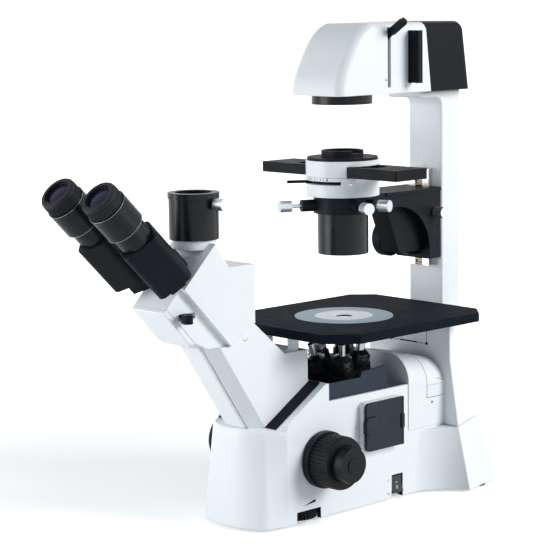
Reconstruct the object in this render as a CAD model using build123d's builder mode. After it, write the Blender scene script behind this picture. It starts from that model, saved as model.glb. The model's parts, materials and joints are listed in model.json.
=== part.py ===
from build123d import *
import os
from math import cos, radians, sin, tan

# Inverted microscope for cell culture, built as separate pieces in millimetres, +Z up.
# Lengths along the instrument are counted from the optical axis, positive towards the back.
# +X is the right hand of the user, who sits at -Y. The origin is on the bench, under the middle
# of the instrument's outline.

# Clearances
FIT = 0.05             # running fit of a shaft in its bore, on the radius
SEAT = 0.02            # close fit of two pieces that are fixed together, on the radius
RUN = 0.4              # gap between pieces that move past each other

# Base
FOOT_HEIGHT = 3.0
FOOT_RADIUS = 11.0
BASE_WALL = 8.0
NOSE_STEP = 5.0        # how much narrower than the sides the nose is at its front corners
NOSE_FRONT_Y = -181.0
NOSE_BULGE = 14.0      # how far the front bows out ahead of its corners
NOSE_CORNER_R = 12.0
NOSE_SIDE_Y = -138.0   # where the nose has widened to the straight sides
NOSE_TOP = 106.0
NOSE_TAPER = 8.0       # how far the nose draws in from the foot to the rim
NOSE_RIM = 3.0         # height of the bevelled rim
NOSE_RIM_IN = 1.5
SLOPE_FOOT_Y = -147.0
SLOPE_HEAD_Y = -82.0
SLOPE_TOP = 146.0
SLOPE_LAND = 5.0
DECK = 127.0
DECK_WALL = 3.3
DECK_BACK_Y = 46.0
DECK_ROOM = 10.0       # depth of the well below the nosepiece carriage
FLARE_HOLLOW = 0.3     # how far the side has swept out at the middle of the flare
FLARE_BOW = 12.0
CREASE = 72.0          # height at which the rear flare begins
FLARE_Y = 39.0
REAR_HALF = 92.0       # half width of the foot at the front of the flare
REAR_BACK_HALF = 78.0
REAR_FRONT_Y = 105.0
CAVITY_FRONT_Y = -105.0
CAVITY_BACK_Y = 98.0
CAVITY_TOP = 116.0
PLATE_THICK = 3.0
PLATE_LIP = 3.0
FRONT_FOOT = (26.0, -148.0)
BACK_FOOT = (72.0, 138.0)
FOOT_EDGE = 1.0

# Pillar: half widths of its front and back faces at the crease, at the waist and under the stage
PILLAR_LOW = (75.0, 50.0)
PILLAR_WAIST = (63.0, 36.5)
PILLAR_SHOULDER = (62.0, 32.0)
WAIST_Z = 145.0
POST_HALF = 25.0
POST_DEPTH = 31.5
LEDGE_REACH = 34.9     # how far the ledge under the lamp house stands out from the post
LEDGE_THICK = 8.0
LEDGE_ROUND = 11.0
HUMP_STEP = 1.0        # how far the arched cover stands out from the sides
HUMP_FRONT_TOP = 159.0
HUMP_BACK_TOP = 147.0
HUMP_ROUND = 30.0
HUMP_WALL = 3.0

# Arm and viewing head
ARM_HALF = 28.5
ARM_BEVEL = 11.0
ARM_BACK_Y = -84.0
ARM_SHELF_Y = -118.0
ARM_TOP = 220.0
ARM_TOP_Y = -162.0
ARM_STEP_Y = -195.0
ARM_STEP = 199.0
ARM_FRONT_TOP_Y = -221.0
ARM_FRONT_FOOT_Y = -160.0
COVER_THICK = 4.0
COVER_LOW_HALF = 15.0
COVER_HIGH_HALF = 25.0
TRIM_THICK = 1.5
TRIM_WIDTH = 16.0      # width of the black strip beside the arm
HEAD_HALF = 32.0
HEAD_RIDGE_Y = -215.0
HEAD_SADDLE_Y = -197.0
SADDLE_DROP = 25.61    # fall from the ridge of the head to its flat roof
HEAD_EDGE_Y = -257.0
CHIN_FRONT_Y = -275.0
CHIN_HALF = 25.0
CHIN_FOOT_Y = -238.0
CHIN_RISE = 8.0        # height of the chin's foot above the step of the arm

# Eyepieces, measured back from the eye end along the tube axis
EYE_TILT = 45.0
EYE_Y = -363.0
EYE_Z = 366.5
EYE_HALF_SPACING = 32.0
EYE_SWING = 31.0       # how far each arm hangs below level at rest
EYE_FACE = 147.0       # distance from the eye end to the head's mounting face
EYECUP_R = 17.5
DIOPTRE_R = 19.0
DIOPTRE_LENGTH = 15.0
OCULAR_R = 20.5
OCULAR_END = 45.0
TUBE_R = 17.5
ARM_START = 65.0
ARM_END = 128.0
ARM_ACROSS = 36.0
ARM_DEEP = 40.0
EYE_ARM_ROUND = 7.0
HUB_R = 13.0
HUB_END = 120.0
COLLAR_R = 19.0
COLLAR_GAP = 0.4
COLLAR_MID = 137.8     # where the right arm's collar ends and the left arm's begins
WEB_HALF = 9.0
WEB_IN = 20.6
WEB_OUT = 45.0
TUBE_SOCKET = 10.0
BEAM_R = 10.0
NECK_RING_R = 14.0
EYECUP_HEIGHT = 2.0
EYE_LENS_R = 12.6      # seat of the eye lens
EYE_LENS_DEPTH = 4.0

# Photo tube
PHOTO_Y = -215.0
PHOTO_R = 25.5
PHOTO_RIM_R = 26.5
PHOTO_BORE_R = 19.0
PHOTO_LIFT = 2.89      # height of the tube's foot above the ridge of the head
PHOTO_HEIGHT = 47.5
PHOTO_FLOOR = 6.0
NECK_R = 23.0
NECK_HEIGHT = 9.5
PHOTO_RIM = 6.0
PHOTO_SCREW_Y = -210.0
PHOTO_SCREW_DROP = 11.0
PHOTO_SCREW_GAP = 3.0

# Stage
STAGE_TOP = 204.0
STAGE_THICK = 10.0
STAGE_WIDTH = 200.0
STAGE_DEPTH = 239.0
STAGE_MID_Y = 13.5
STAGE_GAP = 0.5        # between the stage and the post
STAGE_FRONT_CUT = 30.0
STAGE_BACK_CUT = 22.0
STAGE_POST = 13.0      # height of the two posts on the arm
STAGE_POST_X = 20.0
STAGE_POST_Y = -97.0
STAGE_POST_R = 6.0
INSERT_R = 54.2
INSERT_THICK = 3.0
INSERT_LIP = 4.5
DISC_R = 32.0
DISC_THICK = 1.6
DISC_HOLE_R = 11.0

# Nosepiece and objectives
CHEEK_THICK = 3.5
CARRIAGE_FRONT_Y = -76.0
CARRIAGE_BACK_Y = 14.7
CARRIAGE_FLOOR = 112.0
CARRIAGE_FLOOR_THICK = 6.0
CHEEK_LOW = 144.5
CHEEK_HIGH = 152.0
CHEEK_STEP_Y = -23.0
CHEEK_DIP = 1.6        # fall of the high part of the cheek towards its step
CHEEK_RAMP = 2.4
FOCUS_UP = 3.0
FOCUS_DOWN = 7.0
SEAT_Z = 160.0         # shoulder of the objective in use
TURRET_LEAN = 13.0
TURRET_TURN = -66.0    # compass direction in which the turret leans, from +X
TURRET_PITCH_R = 23.4
TURRET_R = 36.5
TURRET_ROOM = 9.3      # between the turret and the cheeks of the carriage
TURRET_THICK = 16.0
TURRET_PLACES = 5
TURRET_BORE_R = 10.0
TURRET_HUB_R = 8.0
TURRET_CROWN = 9.0
TURRET_BOSS_R = 15.0
GRIP_HEIGHT = 10.0
GRIP_DEPTH = 3.0
GRIP_COUNT = 20
OBJECTIVE_THREAD = 5.0
OBJECTIVE_COLLAR_R = 12.0
OBJECTIVE_COLLAR = 8.5
OBJECTIVE_SHOULDER = 0.45  # share of the length at which the barrel begins to narrow
OBJECTIVE_NECK = 0.6       # share of the length at which the slim tip begins
# Length above the seat, barrel radius and tip radius of each objective, the one in use first
OBJECTIVES = ((36.0, 10.5, 5.5), (30.0, 10.5, 4.5), (33.0, 10.5, 3.5), (35.0, 10.5, 3.5), (26.0, 10.0, 5.0))

# Focus drive
KNOB_Y = -88.5
KNOB_Z = 67.0
SLEEVE_R = 8.0
SLEEVE_OUT = 13.0      # how far the sleeve stands out of the base
SHAFT_R = 4.0
KNOB_BOSS_R = 24.0
COARSE_R = 30.5        # smooth rim next to the base
KNOB_GAP = 1.5
COARSE_RIM = 7.5
COARSE_GRIP_R = 28.5
COARSE_GRIP = 22.0
COARSE_FACE_R = 27.5
COARSE_FACE = 3.0
LEFT_COLLAR = 10.0     # the left coarse knob has a longer rim
KNURL_COUNT = 44
KNURL_R = 1.1
FINE_R = 20.0
FINE_RIM = 4.6
FINE_TIP_R = 18.5
FINE_LENGTH = 13.0
FINE_LEFT_LENGTH = 4.0
FINE_WEB = 1.8         # metal between the end of the shaft and the face of the fine knob
CAP_R = 8.0
CAP_HEIGHT = 1.0
PINION_R = 10.0
PINION_HALF = 9.0
RACK_DEPTH = 7.0
RACK_HALF = 12.0
RACK_FOOT = 34.0
GUIDE_DEPTH = 14.0
GUIDE_HALF = 18.0
GUIDE_TOP = 100.0

# Optics under the nosepiece
FOLD_SIZE = 30.0
FOLD_ROOM = 2.0
MIRROR_THICK = 4.0
TUBE_LENS_R = 13.0
TUBE_LENS_THICK = 6.0
TUBE_LENS_Y = -32.0
TUBE_LENS_ROUND = 2.0
BRACKET_FLOOR = 4.0
BEAM_HALF = 8.0

# Condenser and its carrier
BARREL_R = 27.7
BARREL_BOTTOM = 273.5
BARREL_BORE_R = 22.0
CONDENSER_LENS_THICK = 8.0
CONDENSER_LENS_UP = 3.0
HOLDER_R = 32.0
HOLDER_BOTTOM = 318.0
DRUM_R = 40.0
DRUM_BOTTOM = 337.0
DRUM_TOP = 376.0
DRUM_BORE_R = 20.0
TOP_DISC_R = 38.5
TOP_DISC_THICK = 3.0
TOP_RING_R = 23.0
TOP_RING_WALL = 4.0
TOP_RING_HEIGHT = 7.0
TOP_NOTCH = 14.0
TOP_NOTCH_IN = 7.7
SLIDER_HALF = 102.0
SLIDER_WIDTH = 49.0
SLIDER_THICK = 11.5
SLIDER_BOTTOM = 358.5
SLIDER_PITCH = 45.0
SLIDER_HOLE_R = 15.0
SLIDER_EDGE = 1.0
APERTURE_Z = 351.0
APERTURE_THICK = 3.0
APERTURE_IN_R = 25.0
APERTURE_OUT_R = 33.0
APERTURE_REACH = 61.0
APERTURE_ANGLE = -126.0
APERTURE_BACK = 36.0
APERTURE_FORTH = 72.0
APERTURE_ROOM = 6.0    # the slot is this many degrees longer than the sweep, at each end
APERTURE_BAR = 4.0
RAIL_HALF = 15.0
RAIL_NECK_HALF = 11.0
RAIL_DEPTH = 11.0
RAIL_BOTTOM = 247.0
RAIL_TOP = 357.0
RACK_GROOVE_HALF = 5.5
RACK_GROOVE_DEPTH = 4.0
RACK_TOOTH = 1.5
RACK_PITCH = 5.0
TOOTH_RISE = 0.3       # shares of the pitch
TOOTH_CREST = 0.5
TOOTH_FOOT = 0.8
CARRIER_HALF = 25.0
CARRIER_ARM_Y = 18.0
CARRIER_LIP = 1.5
CARRIER_LIP_THICK = 4.0
CARRIER_LIP_Y = 42.0
CARRIER_BLOCK_HALF = 13.0
CARRIER_GAP = 2.5      # between the carrier and the post
CARRIER_BOTTOM = 257.0
CARRIER_WALL = 19.0    # thickness of the carrier at the rail
CARRIER_ARCH_TOP = 320.0
CARRIER_ARCH_Y = 61.0
CARRIER_BLOCK_TOP_Y = 53.0
CARRIER_BLOCK_LOW_Y = 76.0
CARRIER_BLOCK_BOTTOM = 266.0
CARRIER_BLOCK_TOP = 324.0
CARRIER_KNOB_R = 21.0
CARRIER_KNOB_OUT = 27.5  # from the post to the axis of the condenser knob
CARRIER_KNOB_Z = 277.5
CARRIER_KNOB_START = 27.0
CARRIER_KNOB_LENGTH = 13.0
CARRIER_SHAFT_R = 4.0
CARRIER_SHAFT_CAP = 1.6  # metal over the blind end of the shaft's bore
CARRIER_PINION_HALF = 5.0
KNOB_CHAMFER = 2.0
SCREW_Z = 327.0
SCREW_R = 2.0
SCREW_HEAD_R = 6.3
SCREW_HEAD_LENGTH = 13.0
SCREW_TIP_GAP = 0.5
SCREW_BOSS_R = 6.5
FRONT_SCREW_TURN = -115.0  # compass directions of the three screws around the barrel
RIGHT_SCREW_TURN = 15.0
CLAMP_SCREW_TURN = -20.0
FRONT_BOSS_END = 48.0      # distances from the axis at which each boss ends and each head begins
FRONT_HEAD_START = 60.0
RIGHT_BOSS_END = 40.0
RIGHT_HEAD_START = 45.0
CLAMP_BOSS_END = 44.0
CLAMP_HEAD_START = 52.0
CENTRING_SCREWS = {
    "front": (FRONT_SCREW_TURN, FRONT_BOSS_END, FRONT_HEAD_START),
    "right": (RIGHT_SCREW_TURN, RIGHT_BOSS_END, RIGHT_HEAD_START),
    "clamp": (CLAMP_SCREW_TURN, CLAMP_BOSS_END, CLAMP_HEAD_START),
}
CLAMP_TIP_GAP = 1.2
CLAMP_LIFT = 1.6
CARRIER_SCREW_OUT = 11.5  # from the post to the clamp screw
CARRIER_SCREW_Z = 309.5

# Lamp house
LAMP_HALF = 38.5
LAMP_BOTTOM = 446.0
LAMP_TOP = 522.0
LAMP_WALL = 4.0
LAMP_SOFT = 10.0       # rounding of the long edges
LAMP_FRONT_Y = -42.8
LAMP_BROW_Y = 8.0
LAMP_BROW_RISE = 0.35  # slope of the curved front where it meets the top
LAMP_FOREHEAD_Y = -31.4
LAMP_FOREHEAD = 481.2
LAMP_SPLIT_TOP_Y = 92.0
LAMP_SPLIT_LOW_Y = 101.0
LAMP_BACK_TOP_Y = 158.0
LAMP_BACK_LOW_Y = 169.5
LAMP_ROUND = 12.0
LIGHT_Z = 485.0        # height of the level light path inside the lamp house
FIELD_R = 33.0
FIELD_BORE_R = 24.0
FIELD_DROP = 10.0
FIELD_LENS_R = 26.0
FIELD_LENS_THICK = 5.0
BULB_R = 6.0
BULB_TIP = 0.6
BULB_LENGTH = 22.0
SOCKET_R = 13.0
SOCKET_LENGTH = 20.0
SOCKET_PLATE = 4.0
COLLECTOR_R = 22.0
COLLECTOR_THICK = 9.0
COLLECTOR_Y = 84.0
MIRROR_SIZE = 48.0
CHASSIS_HALF = 28.0
CHASSIS_WALL = 3.0
FILTER_Y = 67.0
FILTER_THICK = 3.0
FILTER_HALF_HEIGHT = 24.0
FILTER_HANDLE_HALF = 28.4
FILTER_HANDLE_THICK = 7.0
FILTER_HANDLE_REACH = 15.0
FILTER_NOTCH = 3.5
FILTER_ROOM = 1.6
FILTER_BORE_R = 18.0
IRIS_Y = 34.0
IRIS_THICK = 2.4
IRIS_RING_R = 24.0
IRIS_BORE_R = 16.0
IRIS_REACH = 73.0
IRIS_ANGLE = 33.0
IRIS_BAR = 7.0
IRIS_GRIP_START = 47.0
IRIS_GRIP_HALF = 3.4
IRIS_SEAT_THICK = 3.0

# Controls on the base
DOOR_Y0 = -31.0
DOOR_Y1 = 28.0
DOOR_Z0 = 65.0
DOOR_Z1 = 118.0
DOOR_FRAME = 7.0
DOOR_ROUND = 5.0
FRAME_EDGE = 1.0
DOOR_THICK = 3.6
DOOR_MARGIN = 6.0
DOOR_POCKET = 5.0
DOOR_PIN_R = 1.0
DOOR_PIN = 6.0
HINGE_R = 2.2
HINGE_REACH = 4.0
HINGE_LOW = 84.0
HINGE_HIGH = 99.0
LATCH_LIFT = 2.0
LATCH_LENGTH = 8.0
LATCH_HALF = 6.0
SWITCH_Y0 = 19.0
SWITCH_Y1 = 36.7
SWITCH_TOP = 29.0
ROCKER_IN = 5.0        # how far the rocker pin lies inside the side of the base
ROCKER_Z = 17.0
ROCKER_TILT = 8.0
ROCKER_HALF = 9.5
ROCKER_BACK = 2.5
ROCKER_FRONT = 5.2
ROCKER_WAIST = 4.0
ROCKER_PIN = 3.0
ROCKER_PIN_R = 1.5
DIAL_Y = -108.3
DIAL_IN = 22.5         # how far the wheel pin lies inside the side of the base
DIAL_R = 24.0
DIAL_Z0 = 5.0
DIAL_THICK = 9.0
DIAL_PIN_R = 3.0
DIAL_PIN = 17.0
DIAL_WINDOW_HALF = 17.5
DIAL_WINDOW_DEPTH = 4.0
DIAL_ROOM = 1.0
DIAL_NOTCHES = 36
LEVER_Z = 236.0
LEVER_PIVOT_X = 8.0
LEVER_PIVOT_Y = -243.0
LEVER_ANGLE = -28.0
LEVER_THICK = 3.0
LEVER_EYE_R = 5.0
LEVER_PIN_R = 2.5
LEVER_PIN_HALF = 7.0
LEVER_SLOT = 16.0
LEVER_TAB_START = 24.0
LEVER_TAB_LENGTH = 16.0
LEVER_TAB_WIDE = 10.0
LEVER_TAB_TIP = 2.5
LEVER_TAB_THICK = 9.0

# Power inlet
INLET_HALF = 13.5
INLET_RISE = 10.0
INLET_Z = 34.0
INLET_DEPTH = 18.0
INLET_FLANGE = 3.0
INLET_PIN = 4.0
INLET_PIN_PITCH = 7.0

# Longer than the instrument, for cuts that go right through
FAR = 600.0

# Worked out from the sizes above
POST_FRONT_Y = STAGE_MID_Y + STAGE_DEPTH / 2 + STAGE_GAP
REAR_BACK_Y = POST_FRONT_Y + POST_DEPTH
LEDGE_FRONT_Y = POST_FRONT_Y - LEDGE_REACH
CARRIER_BACK_Y = POST_FRONT_Y - CARRIER_GAP
CARRIER_WALL_Y = CARRIER_BACK_Y - CARRIER_WALL
CARRIER_KNOB_Y = POST_FRONT_Y - CARRIER_KNOB_OUT
CARRIER_SCREW_Y = POST_FRONT_Y - CARRIER_SCREW_OUT
BASE_HALF = TURRET_R + TURRET_ROOM + CHEEK_THICK + RUN + DECK_WALL
NOSE_HALF = BASE_HALF - NOSE_STEP
HUMP_HALF = BASE_HALF + HUMP_STEP
SLEEVE_END = BASE_HALF + SLEEVE_OUT
COARSE_START = BASE_HALF + KNOB_GAP
COARSE_RIM_END = COARSE_START + COARSE_RIM
COARSE_GRIP_END = COARSE_RIM_END + COARSE_GRIP
COARSE_END = COARSE_GRIP_END + COARSE_FACE
FINE_END = COARSE_END + FINE_LENGTH
FINE_LEFT_END = COARSE_END + LEFT_COLLAR + FINE_LEFT_LENGTH
ROCKER_PIVOT_X = BASE_HALF - ROCKER_IN
DIAL_X = BASE_HALF - DIAL_IN
EYE_REACH = -EYE_Y + EYECUP_R * cos(radians(EYE_TILT))
AXIS_Y = (EYE_REACH - LAMP_BACK_LOW_Y) / 2
STAGE_BOTTOM = STAGE_TOP - STAGE_THICK
ARM_LEDGE = STAGE_BOTTOM - STAGE_POST
CHIN_FOOT = ARM_STEP + CHIN_RISE
FACE_SUM = EYE_Z - EYE_Y - EYE_FACE / cos(radians(EYE_TILT))
HEAD_RIDGE = HEAD_RIDGE_Y + FACE_SUM
HEAD_ROOF = HEAD_RIDGE - SADDLE_DROP
PHOTO_BOTTOM = HEAD_RIDGE + PHOTO_LIFT
PHOTO_TOP = PHOTO_BOTTOM + PHOTO_HEIGHT
PHOTO_SCREW_Z = PHOTO_TOP - PHOTO_SCREW_DROP
CARRIER_TOP = DRUM_BOTTOM
FOLD_Z = CARRIAGE_FLOOR - FOCUS_DOWN - TUBE_LENS_R - MIRROR_THICK - FOLD_ROOM
SLOPE_RISE = (SLOPE_TOP - NOSE_TOP) / (SLOPE_HEAD_Y - SLOPE_FOOT_Y)
SWING_R = EYE_HALF_SPACING / cos(radians(EYE_SWING))
HINGE_X = BASE_HALF + DOOR_FRAME + RUN + HINGE_R
HINGE_Y = DOOR_Y1 - HINGE_R

# Sketch planes through the optical axis: seen from the right, from above and from the front
SIDE = Plane(origin=(0, AXIS_Y, 0), x_dir=(0, 1, 0), z_dir=(1, 0, 0))
TOP = Plane(origin=(0, AXIS_Y, 0), x_dir=(1, 0, 0), z_dir=(0, 0, 1))
FRONT = Plane(origin=(0, AXIS_Y, 0), x_dir=(1, 0, 0), z_dir=(0, -1, 0))

os.makedirs("parts", exist_ok=True)


def finish(builder, name):
    """Label a finished piece and write it to its own file."""
    builder.part.label = name
    export_step(builder.part, os.path.join("parts", name + ".step"))


def outline(*points):
    """Add a closed straight-sided outline to the sketch in hand."""
    with BuildLine() as edge:
        Polyline(*points, close=True)
    make_face(edge.edges())


def side_block(points, half, mode=Mode.ADD):
    """A block with the given side outline, as wide as half on each side of the middle."""
    with BuildSketch(SIDE) as flat:
        outline(*points)
    extrude(flat.sketch, amount=half, both=True, mode=mode)


def box_between(x0, x1, y0, y1, z0, z1, mode=Mode.ADD):
    """A box between two corners."""
    with BuildSketch(TOP.offset(z0)) as flat:
        with Locations(((x0 + x1) / 2, (y0 + y1) / 2)):
            Rectangle(x1 - x0, y1 - y0)
    extrude(flat.sketch, amount=z1 - z0, mode=mode)


def drum(radius, z0, z1, x=0.0, y=0.0, mode=Mode.ADD):
    """An upright cylinder between two heights."""
    with BuildSketch(TOP.offset(z0)) as flat:
        with Locations((x, y)):
            Circle(radius)
    extrude(flat.sketch, amount=z1 - z0, mode=mode)


def cross_drum(radius, x0, x1, y, z, mode=Mode.ADD):
    """A cylinder lying along X."""
    with BuildSketch(SIDE.offset(x0)) as flat:
        with Locations((y, z)):
            Circle(radius)
    extrude(flat.sketch, amount=x1 - x0, mode=mode)


def turned(plane, profile, mode=Mode.ADD):
    """A turned piece: (radius, height) points spun about the plane's own z axis."""
    half = Plane(origin=plane.origin, x_dir=plane.x_dir, z_dir=-plane.y_dir)
    with BuildSketch(half) as flat:
        outline(*profile)
    revolve(flat.sketch, axis=Axis(plane.origin, plane.z_dir), mode=mode)


def slope(y):
    """Height of the sloping front of the base."""
    return NOSE_TOP + (y - SLOPE_FOOT_Y) * SLOPE_RISE


# Base casting

def body_outline(inset):
    """Plan of the base: a bowed front with round corners, widening to straight sides."""
    half = NOSE_HALF - inset
    front_y = NOSE_FRONT_Y + inset
    corner_y = front_y + NOSE_BULGE
    with BuildLine() as edge:
        ThreePointArc((-half, corner_y), (0, front_y), (half, corner_y))
        Polyline((half, corner_y), (BASE_HALF, NOSE_SIDE_Y), (BASE_HALF, REAR_FRONT_Y),
                 (-BASE_HALF, REAR_FRONT_Y), (-BASE_HALF, NOSE_SIDE_Y), (-half, corner_y))
    plan = make_face(edge.edges())
    corners = plan.vertices().sort_by(Axis.Y)[:2]
    fillet(corners, radius=NOSE_CORNER_R)


def flare_outline(front, back):
    """Plan of the rear foot: sides that sweep outwards in a hollow curve."""
    middle_y = (FLARE_Y + REAR_FRONT_Y) / 2 + FLARE_BOW
    middle_x = BASE_HALF + (front - BASE_HALF) * FLARE_HOLLOW
    with BuildLine() as edge:
        ThreePointArc((BASE_HALF, FLARE_Y), (middle_x, middle_y), (front, REAR_FRONT_Y))
        Polyline((front, REAR_FRONT_Y), (back, REAR_BACK_Y), (-back, REAR_BACK_Y), (-front, REAR_FRONT_Y))
        ThreePointArc((-front, REAR_FRONT_Y), (-middle_x, middle_y), (-BASE_HALF, FLARE_Y))
        Line((-BASE_HALF, FLARE_Y), (BASE_HALF, FLARE_Y))
    make_face(edge.edges())


with BuildPart() as base_casting:
    rim_in = NOSE_TAPER + NOSE_RIM_IN
    for height, inset in ((FOOT_HEIGHT, 0), (NOSE_TOP - NOSE_RIM, NOSE_TAPER), (NOSE_TOP, rim_in)):
        with BuildSketch(TOP.offset(height)):
            body_outline(inset)
    loft(ruled=True)
    with BuildSketch(TOP.offset(NOSE_TOP)):
        body_outline(rim_in)
    extrude(amount=SLOPE_TOP - NOSE_TOP)
    land_y = SLOPE_HEAD_Y + SLOPE_LAND
    side_block([(-FAR, NOSE_TOP), (SLOPE_FOOT_Y, NOSE_TOP), (SLOPE_HEAD_Y, SLOPE_TOP), (land_y, SLOPE_TOP),
                (land_y, DECK), (FAR, DECK), (FAR, FAR), (-FAR, FAR)], FAR, Mode.SUBTRACT)
    with BuildSketch(TOP.offset(FOOT_HEIGHT)):
        flare_outline(REAR_HALF, REAR_BACK_HALF)
    with BuildSketch(TOP.offset(CREASE)):
        flare_outline(*PILLAR_LOW)
    loft(ruled=True)
    cross_drum(KNOB_BOSS_R, -COARSE_START + RUN, COARSE_START - RUN, KNOB_Y, KNOB_Z)
    inner = BASE_HALF - BASE_WALL
    box_between(-inner, inner, CAVITY_FRONT_Y, CAVITY_BACK_Y, FOOT_HEIGHT, CAVITY_TOP, Mode.SUBTRACT)
    deck_half = BASE_HALF - DECK_WALL
    box_between(-deck_half, deck_half, land_y, DECK_BACK_Y, CARRIAGE_FLOOR - DECK_ROOM, SLOPE_TOP,
                Mode.SUBTRACT)
    box_between(-inner - PLATE_LIP, inner + PLATE_LIP, CAVITY_FRONT_Y - PLATE_LIP, CAVITY_BACK_Y + PLATE_LIP,
                FOOT_HEIGHT, FOOT_HEIGHT + PLATE_THICK, Mode.SUBTRACT)
    cross_drum(SLEEVE_R + FIT, -SLEEVE_END, SLEEVE_END, KNOB_Y, KNOB_Z, Mode.SUBTRACT)
    # Recess for the brightness wheel, open below and at the right-hand side
    drum(DIAL_R + DIAL_ROOM, FOOT_HEIGHT, DIAL_Z0 + DIAL_THICK + DIAL_ROOM, DIAL_X, DIAL_Y, Mode.SUBTRACT)
    box_between(BASE_HALF - DIAL_WINDOW_DEPTH, BASE_HALF + DIAL_R, DIAL_Y - DIAL_WINDOW_HALF,
                DIAL_Y + DIAL_WINDOW_HALF, FOOT_HEIGHT, DIAL_Z0 + DIAL_THICK + DIAL_ROOM, Mode.SUBTRACT)
    drum(DIAL_PIN_R + FIT, DIAL_Z0, DIAL_Z0 + DIAL_THICK + DIAL_PIN + DIAL_ROOM, DIAL_X, DIAL_Y,
         Mode.SUBTRACT)
    # Switch notch with bores for the rocker's pin
    box_between(inner - DIAL_ROOM, BASE_HALF + DIAL_R, SWITCH_Y0, SWITCH_Y1, FOOT_HEIGHT, SWITCH_TOP,
                Mode.SUBTRACT)
    with BuildSketch(FRONT.offset(-SWITCH_Y0 + ROCKER_PIN + RUN)):
        with Locations((ROCKER_PIVOT_X, ROCKER_Z)):
            Circle(ROCKER_PIN_R + FIT)
    extrude(amount=-(SWITCH_Y1 - SWITCH_Y0 + 2 * ROCKER_PIN + 2 * RUN), mode=Mode.SUBTRACT)
    # Door frame with its shallow compartment and the lug that carries the hinge pin
    frame_x = BASE_HALF + DOOR_FRAME
    with BuildSketch(SIDE.offset(BASE_HALF)):
        with Locations(((DOOR_Y0 + DOOR_Y1) / 2, (DOOR_Z0 + DOOR_Z1) / 2)):
            RectangleRounded(DOOR_Y1 - DOOR_Y0 + 2 * FRAME_EDGE, DOOR_Z1 - DOOR_Z0 + 2 * FRAME_EDGE,
                             DOOR_ROUND)
    extrude(amount=DOOR_FRAME)
    box_between(frame_x - DOOR_POCKET, frame_x, DOOR_Y0 + DOOR_MARGIN, DOOR_Y1 - DOOR_MARGIN,
                DOOR_Z0 + DOOR_MARGIN,
                DOOR_Z1 - DOOR_MARGIN, Mode.SUBTRACT)
    box_between(frame_x, HINGE_X, HINGE_Y - HINGE_R, HINGE_Y + HINGE_R, HINGE_LOW, HINGE_HIGH)
    drum(HINGE_R, HINGE_LOW, HINGE_HIGH, HINGE_X, HINGE_Y)
    drum(DOOR_PIN_R, HINGE_LOW - DOOR_PIN, HINGE_HIGH + DOOR_PIN, HINGE_X, HINGE_Y)
    # Pocket for the power inlet
    box_between(-INLET_HALF, INLET_HALF, REAR_BACK_Y - INLET_DEPTH, REAR_BACK_Y + INLET_FLANGE,
                INLET_Z - INLET_RISE,
                INLET_Z + INLET_RISE, Mode.SUBTRACT)
finish(base_casting, "base_casting")

with BuildPart() as base_plate:
    reach = BASE_HALF - BASE_WALL + PLATE_LIP - SEAT
    box_between(-reach, reach, CAVITY_FRONT_Y - PLATE_LIP + SEAT, CAVITY_BACK_Y + PLATE_LIP - SEAT,
                FOOT_HEIGHT, FOOT_HEIGHT + PLATE_THICK)
    drum(DIAL_R + DIAL_ROOM, FOOT_HEIGHT, FOOT_HEIGHT + PLATE_THICK, DIAL_X, DIAL_Y, Mode.SUBTRACT)
finish(base_plate, "base_plate")

with BuildPart() as rubber_feet:
    for foot_x, foot_y in (FRONT_FOOT, BACK_FOOT):
        for sign in (-1, 1):
            drum(FOOT_RADIUS, 0, FOOT_HEIGHT, sign * foot_x, foot_y)
    chamfer(rubber_feet.edges().group_by(Axis.Z)[0], length=FOOT_EDGE)
finish(rubber_feet, "rubber_feet")

# Pillar, from the rear flare up to the ledge under the lamp house

with BuildPart() as pillar:
    for height, (front, back) in ((CREASE, PILLAR_LOW), (WAIST_Z, PILLAR_WAIST),
                                  (STAGE_BOTTOM, PILLAR_SHOULDER)):
        with BuildSketch(TOP.offset(height)):
            outline((-front, REAR_FRONT_Y), (front, REAR_FRONT_Y), (back, REAR_BACK_Y), (-back, REAR_BACK_Y))
    loft(ruled=True)
    with BuildSketch(TOP.offset(STAGE_BOTTOM)):
        with Locations((0, (POST_FRONT_Y + REAR_BACK_Y) / 2)):
            Rectangle(2 * POST_HALF, REAR_BACK_Y - POST_FRONT_Y)
    extrude(amount=LAMP_BOTTOM - STAGE_BOTTOM)
    with BuildSketch(SIDE):
        with BuildLine():
            ledge_z = LAMP_BOTTOM - LEDGE_THICK
            Polyline((POST_FRONT_Y, ledge_z - LEDGE_ROUND), (POST_FRONT_Y, LAMP_BOTTOM),
                     (LEDGE_FRONT_Y, LAMP_BOTTOM), (LEDGE_FRONT_Y, ledge_z),
                     (POST_FRONT_Y - LEDGE_ROUND, ledge_z))
            RadiusArc((POST_FRONT_Y - LEDGE_ROUND, ledge_z), (POST_FRONT_Y, ledge_z - LEDGE_ROUND),
                      LEDGE_ROUND)
        make_face()
    extrude(amount=POST_HALF, both=True)
finish(pillar, "pillar")


def hump_outline(top):
    """Front view of the arched cover: straight sides and a broad rounded top."""
    with BuildLine() as edge:
        FilletPolyline((-HUMP_HALF, CREASE), (-HUMP_HALF, top), (HUMP_HALF, top), (HUMP_HALF, CREASE),
                       radius=HUMP_ROUND)
        Line((HUMP_HALF, CREASE), (-HUMP_HALF, CREASE))
    make_face(edge.edges())


with BuildPart() as arch_cover:
    with BuildSketch(FRONT.offset(-DECK_BACK_Y - SEAT)):
        hump_outline(HUMP_FRONT_TOP)
    with BuildSketch(FRONT.offset(-REAR_FRONT_Y)):
        hump_outline(HUMP_BACK_TOP)
    loft(ruled=True)
    box_between(-BASE_HALF, BASE_HALF, DECK_BACK_Y - RUN, REAR_FRONT_Y, CREASE - RUN, DECK, Mode.SUBTRACT)
    box_between(-FAR, FAR, DECK_BACK_Y - RUN, REAR_FRONT_Y, CREASE - RUN, CREASE + HUMP_WALL,
                Mode.SUBTRACT)
finish(arch_cover, "arch_cover")

# Arm and front cover

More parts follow.
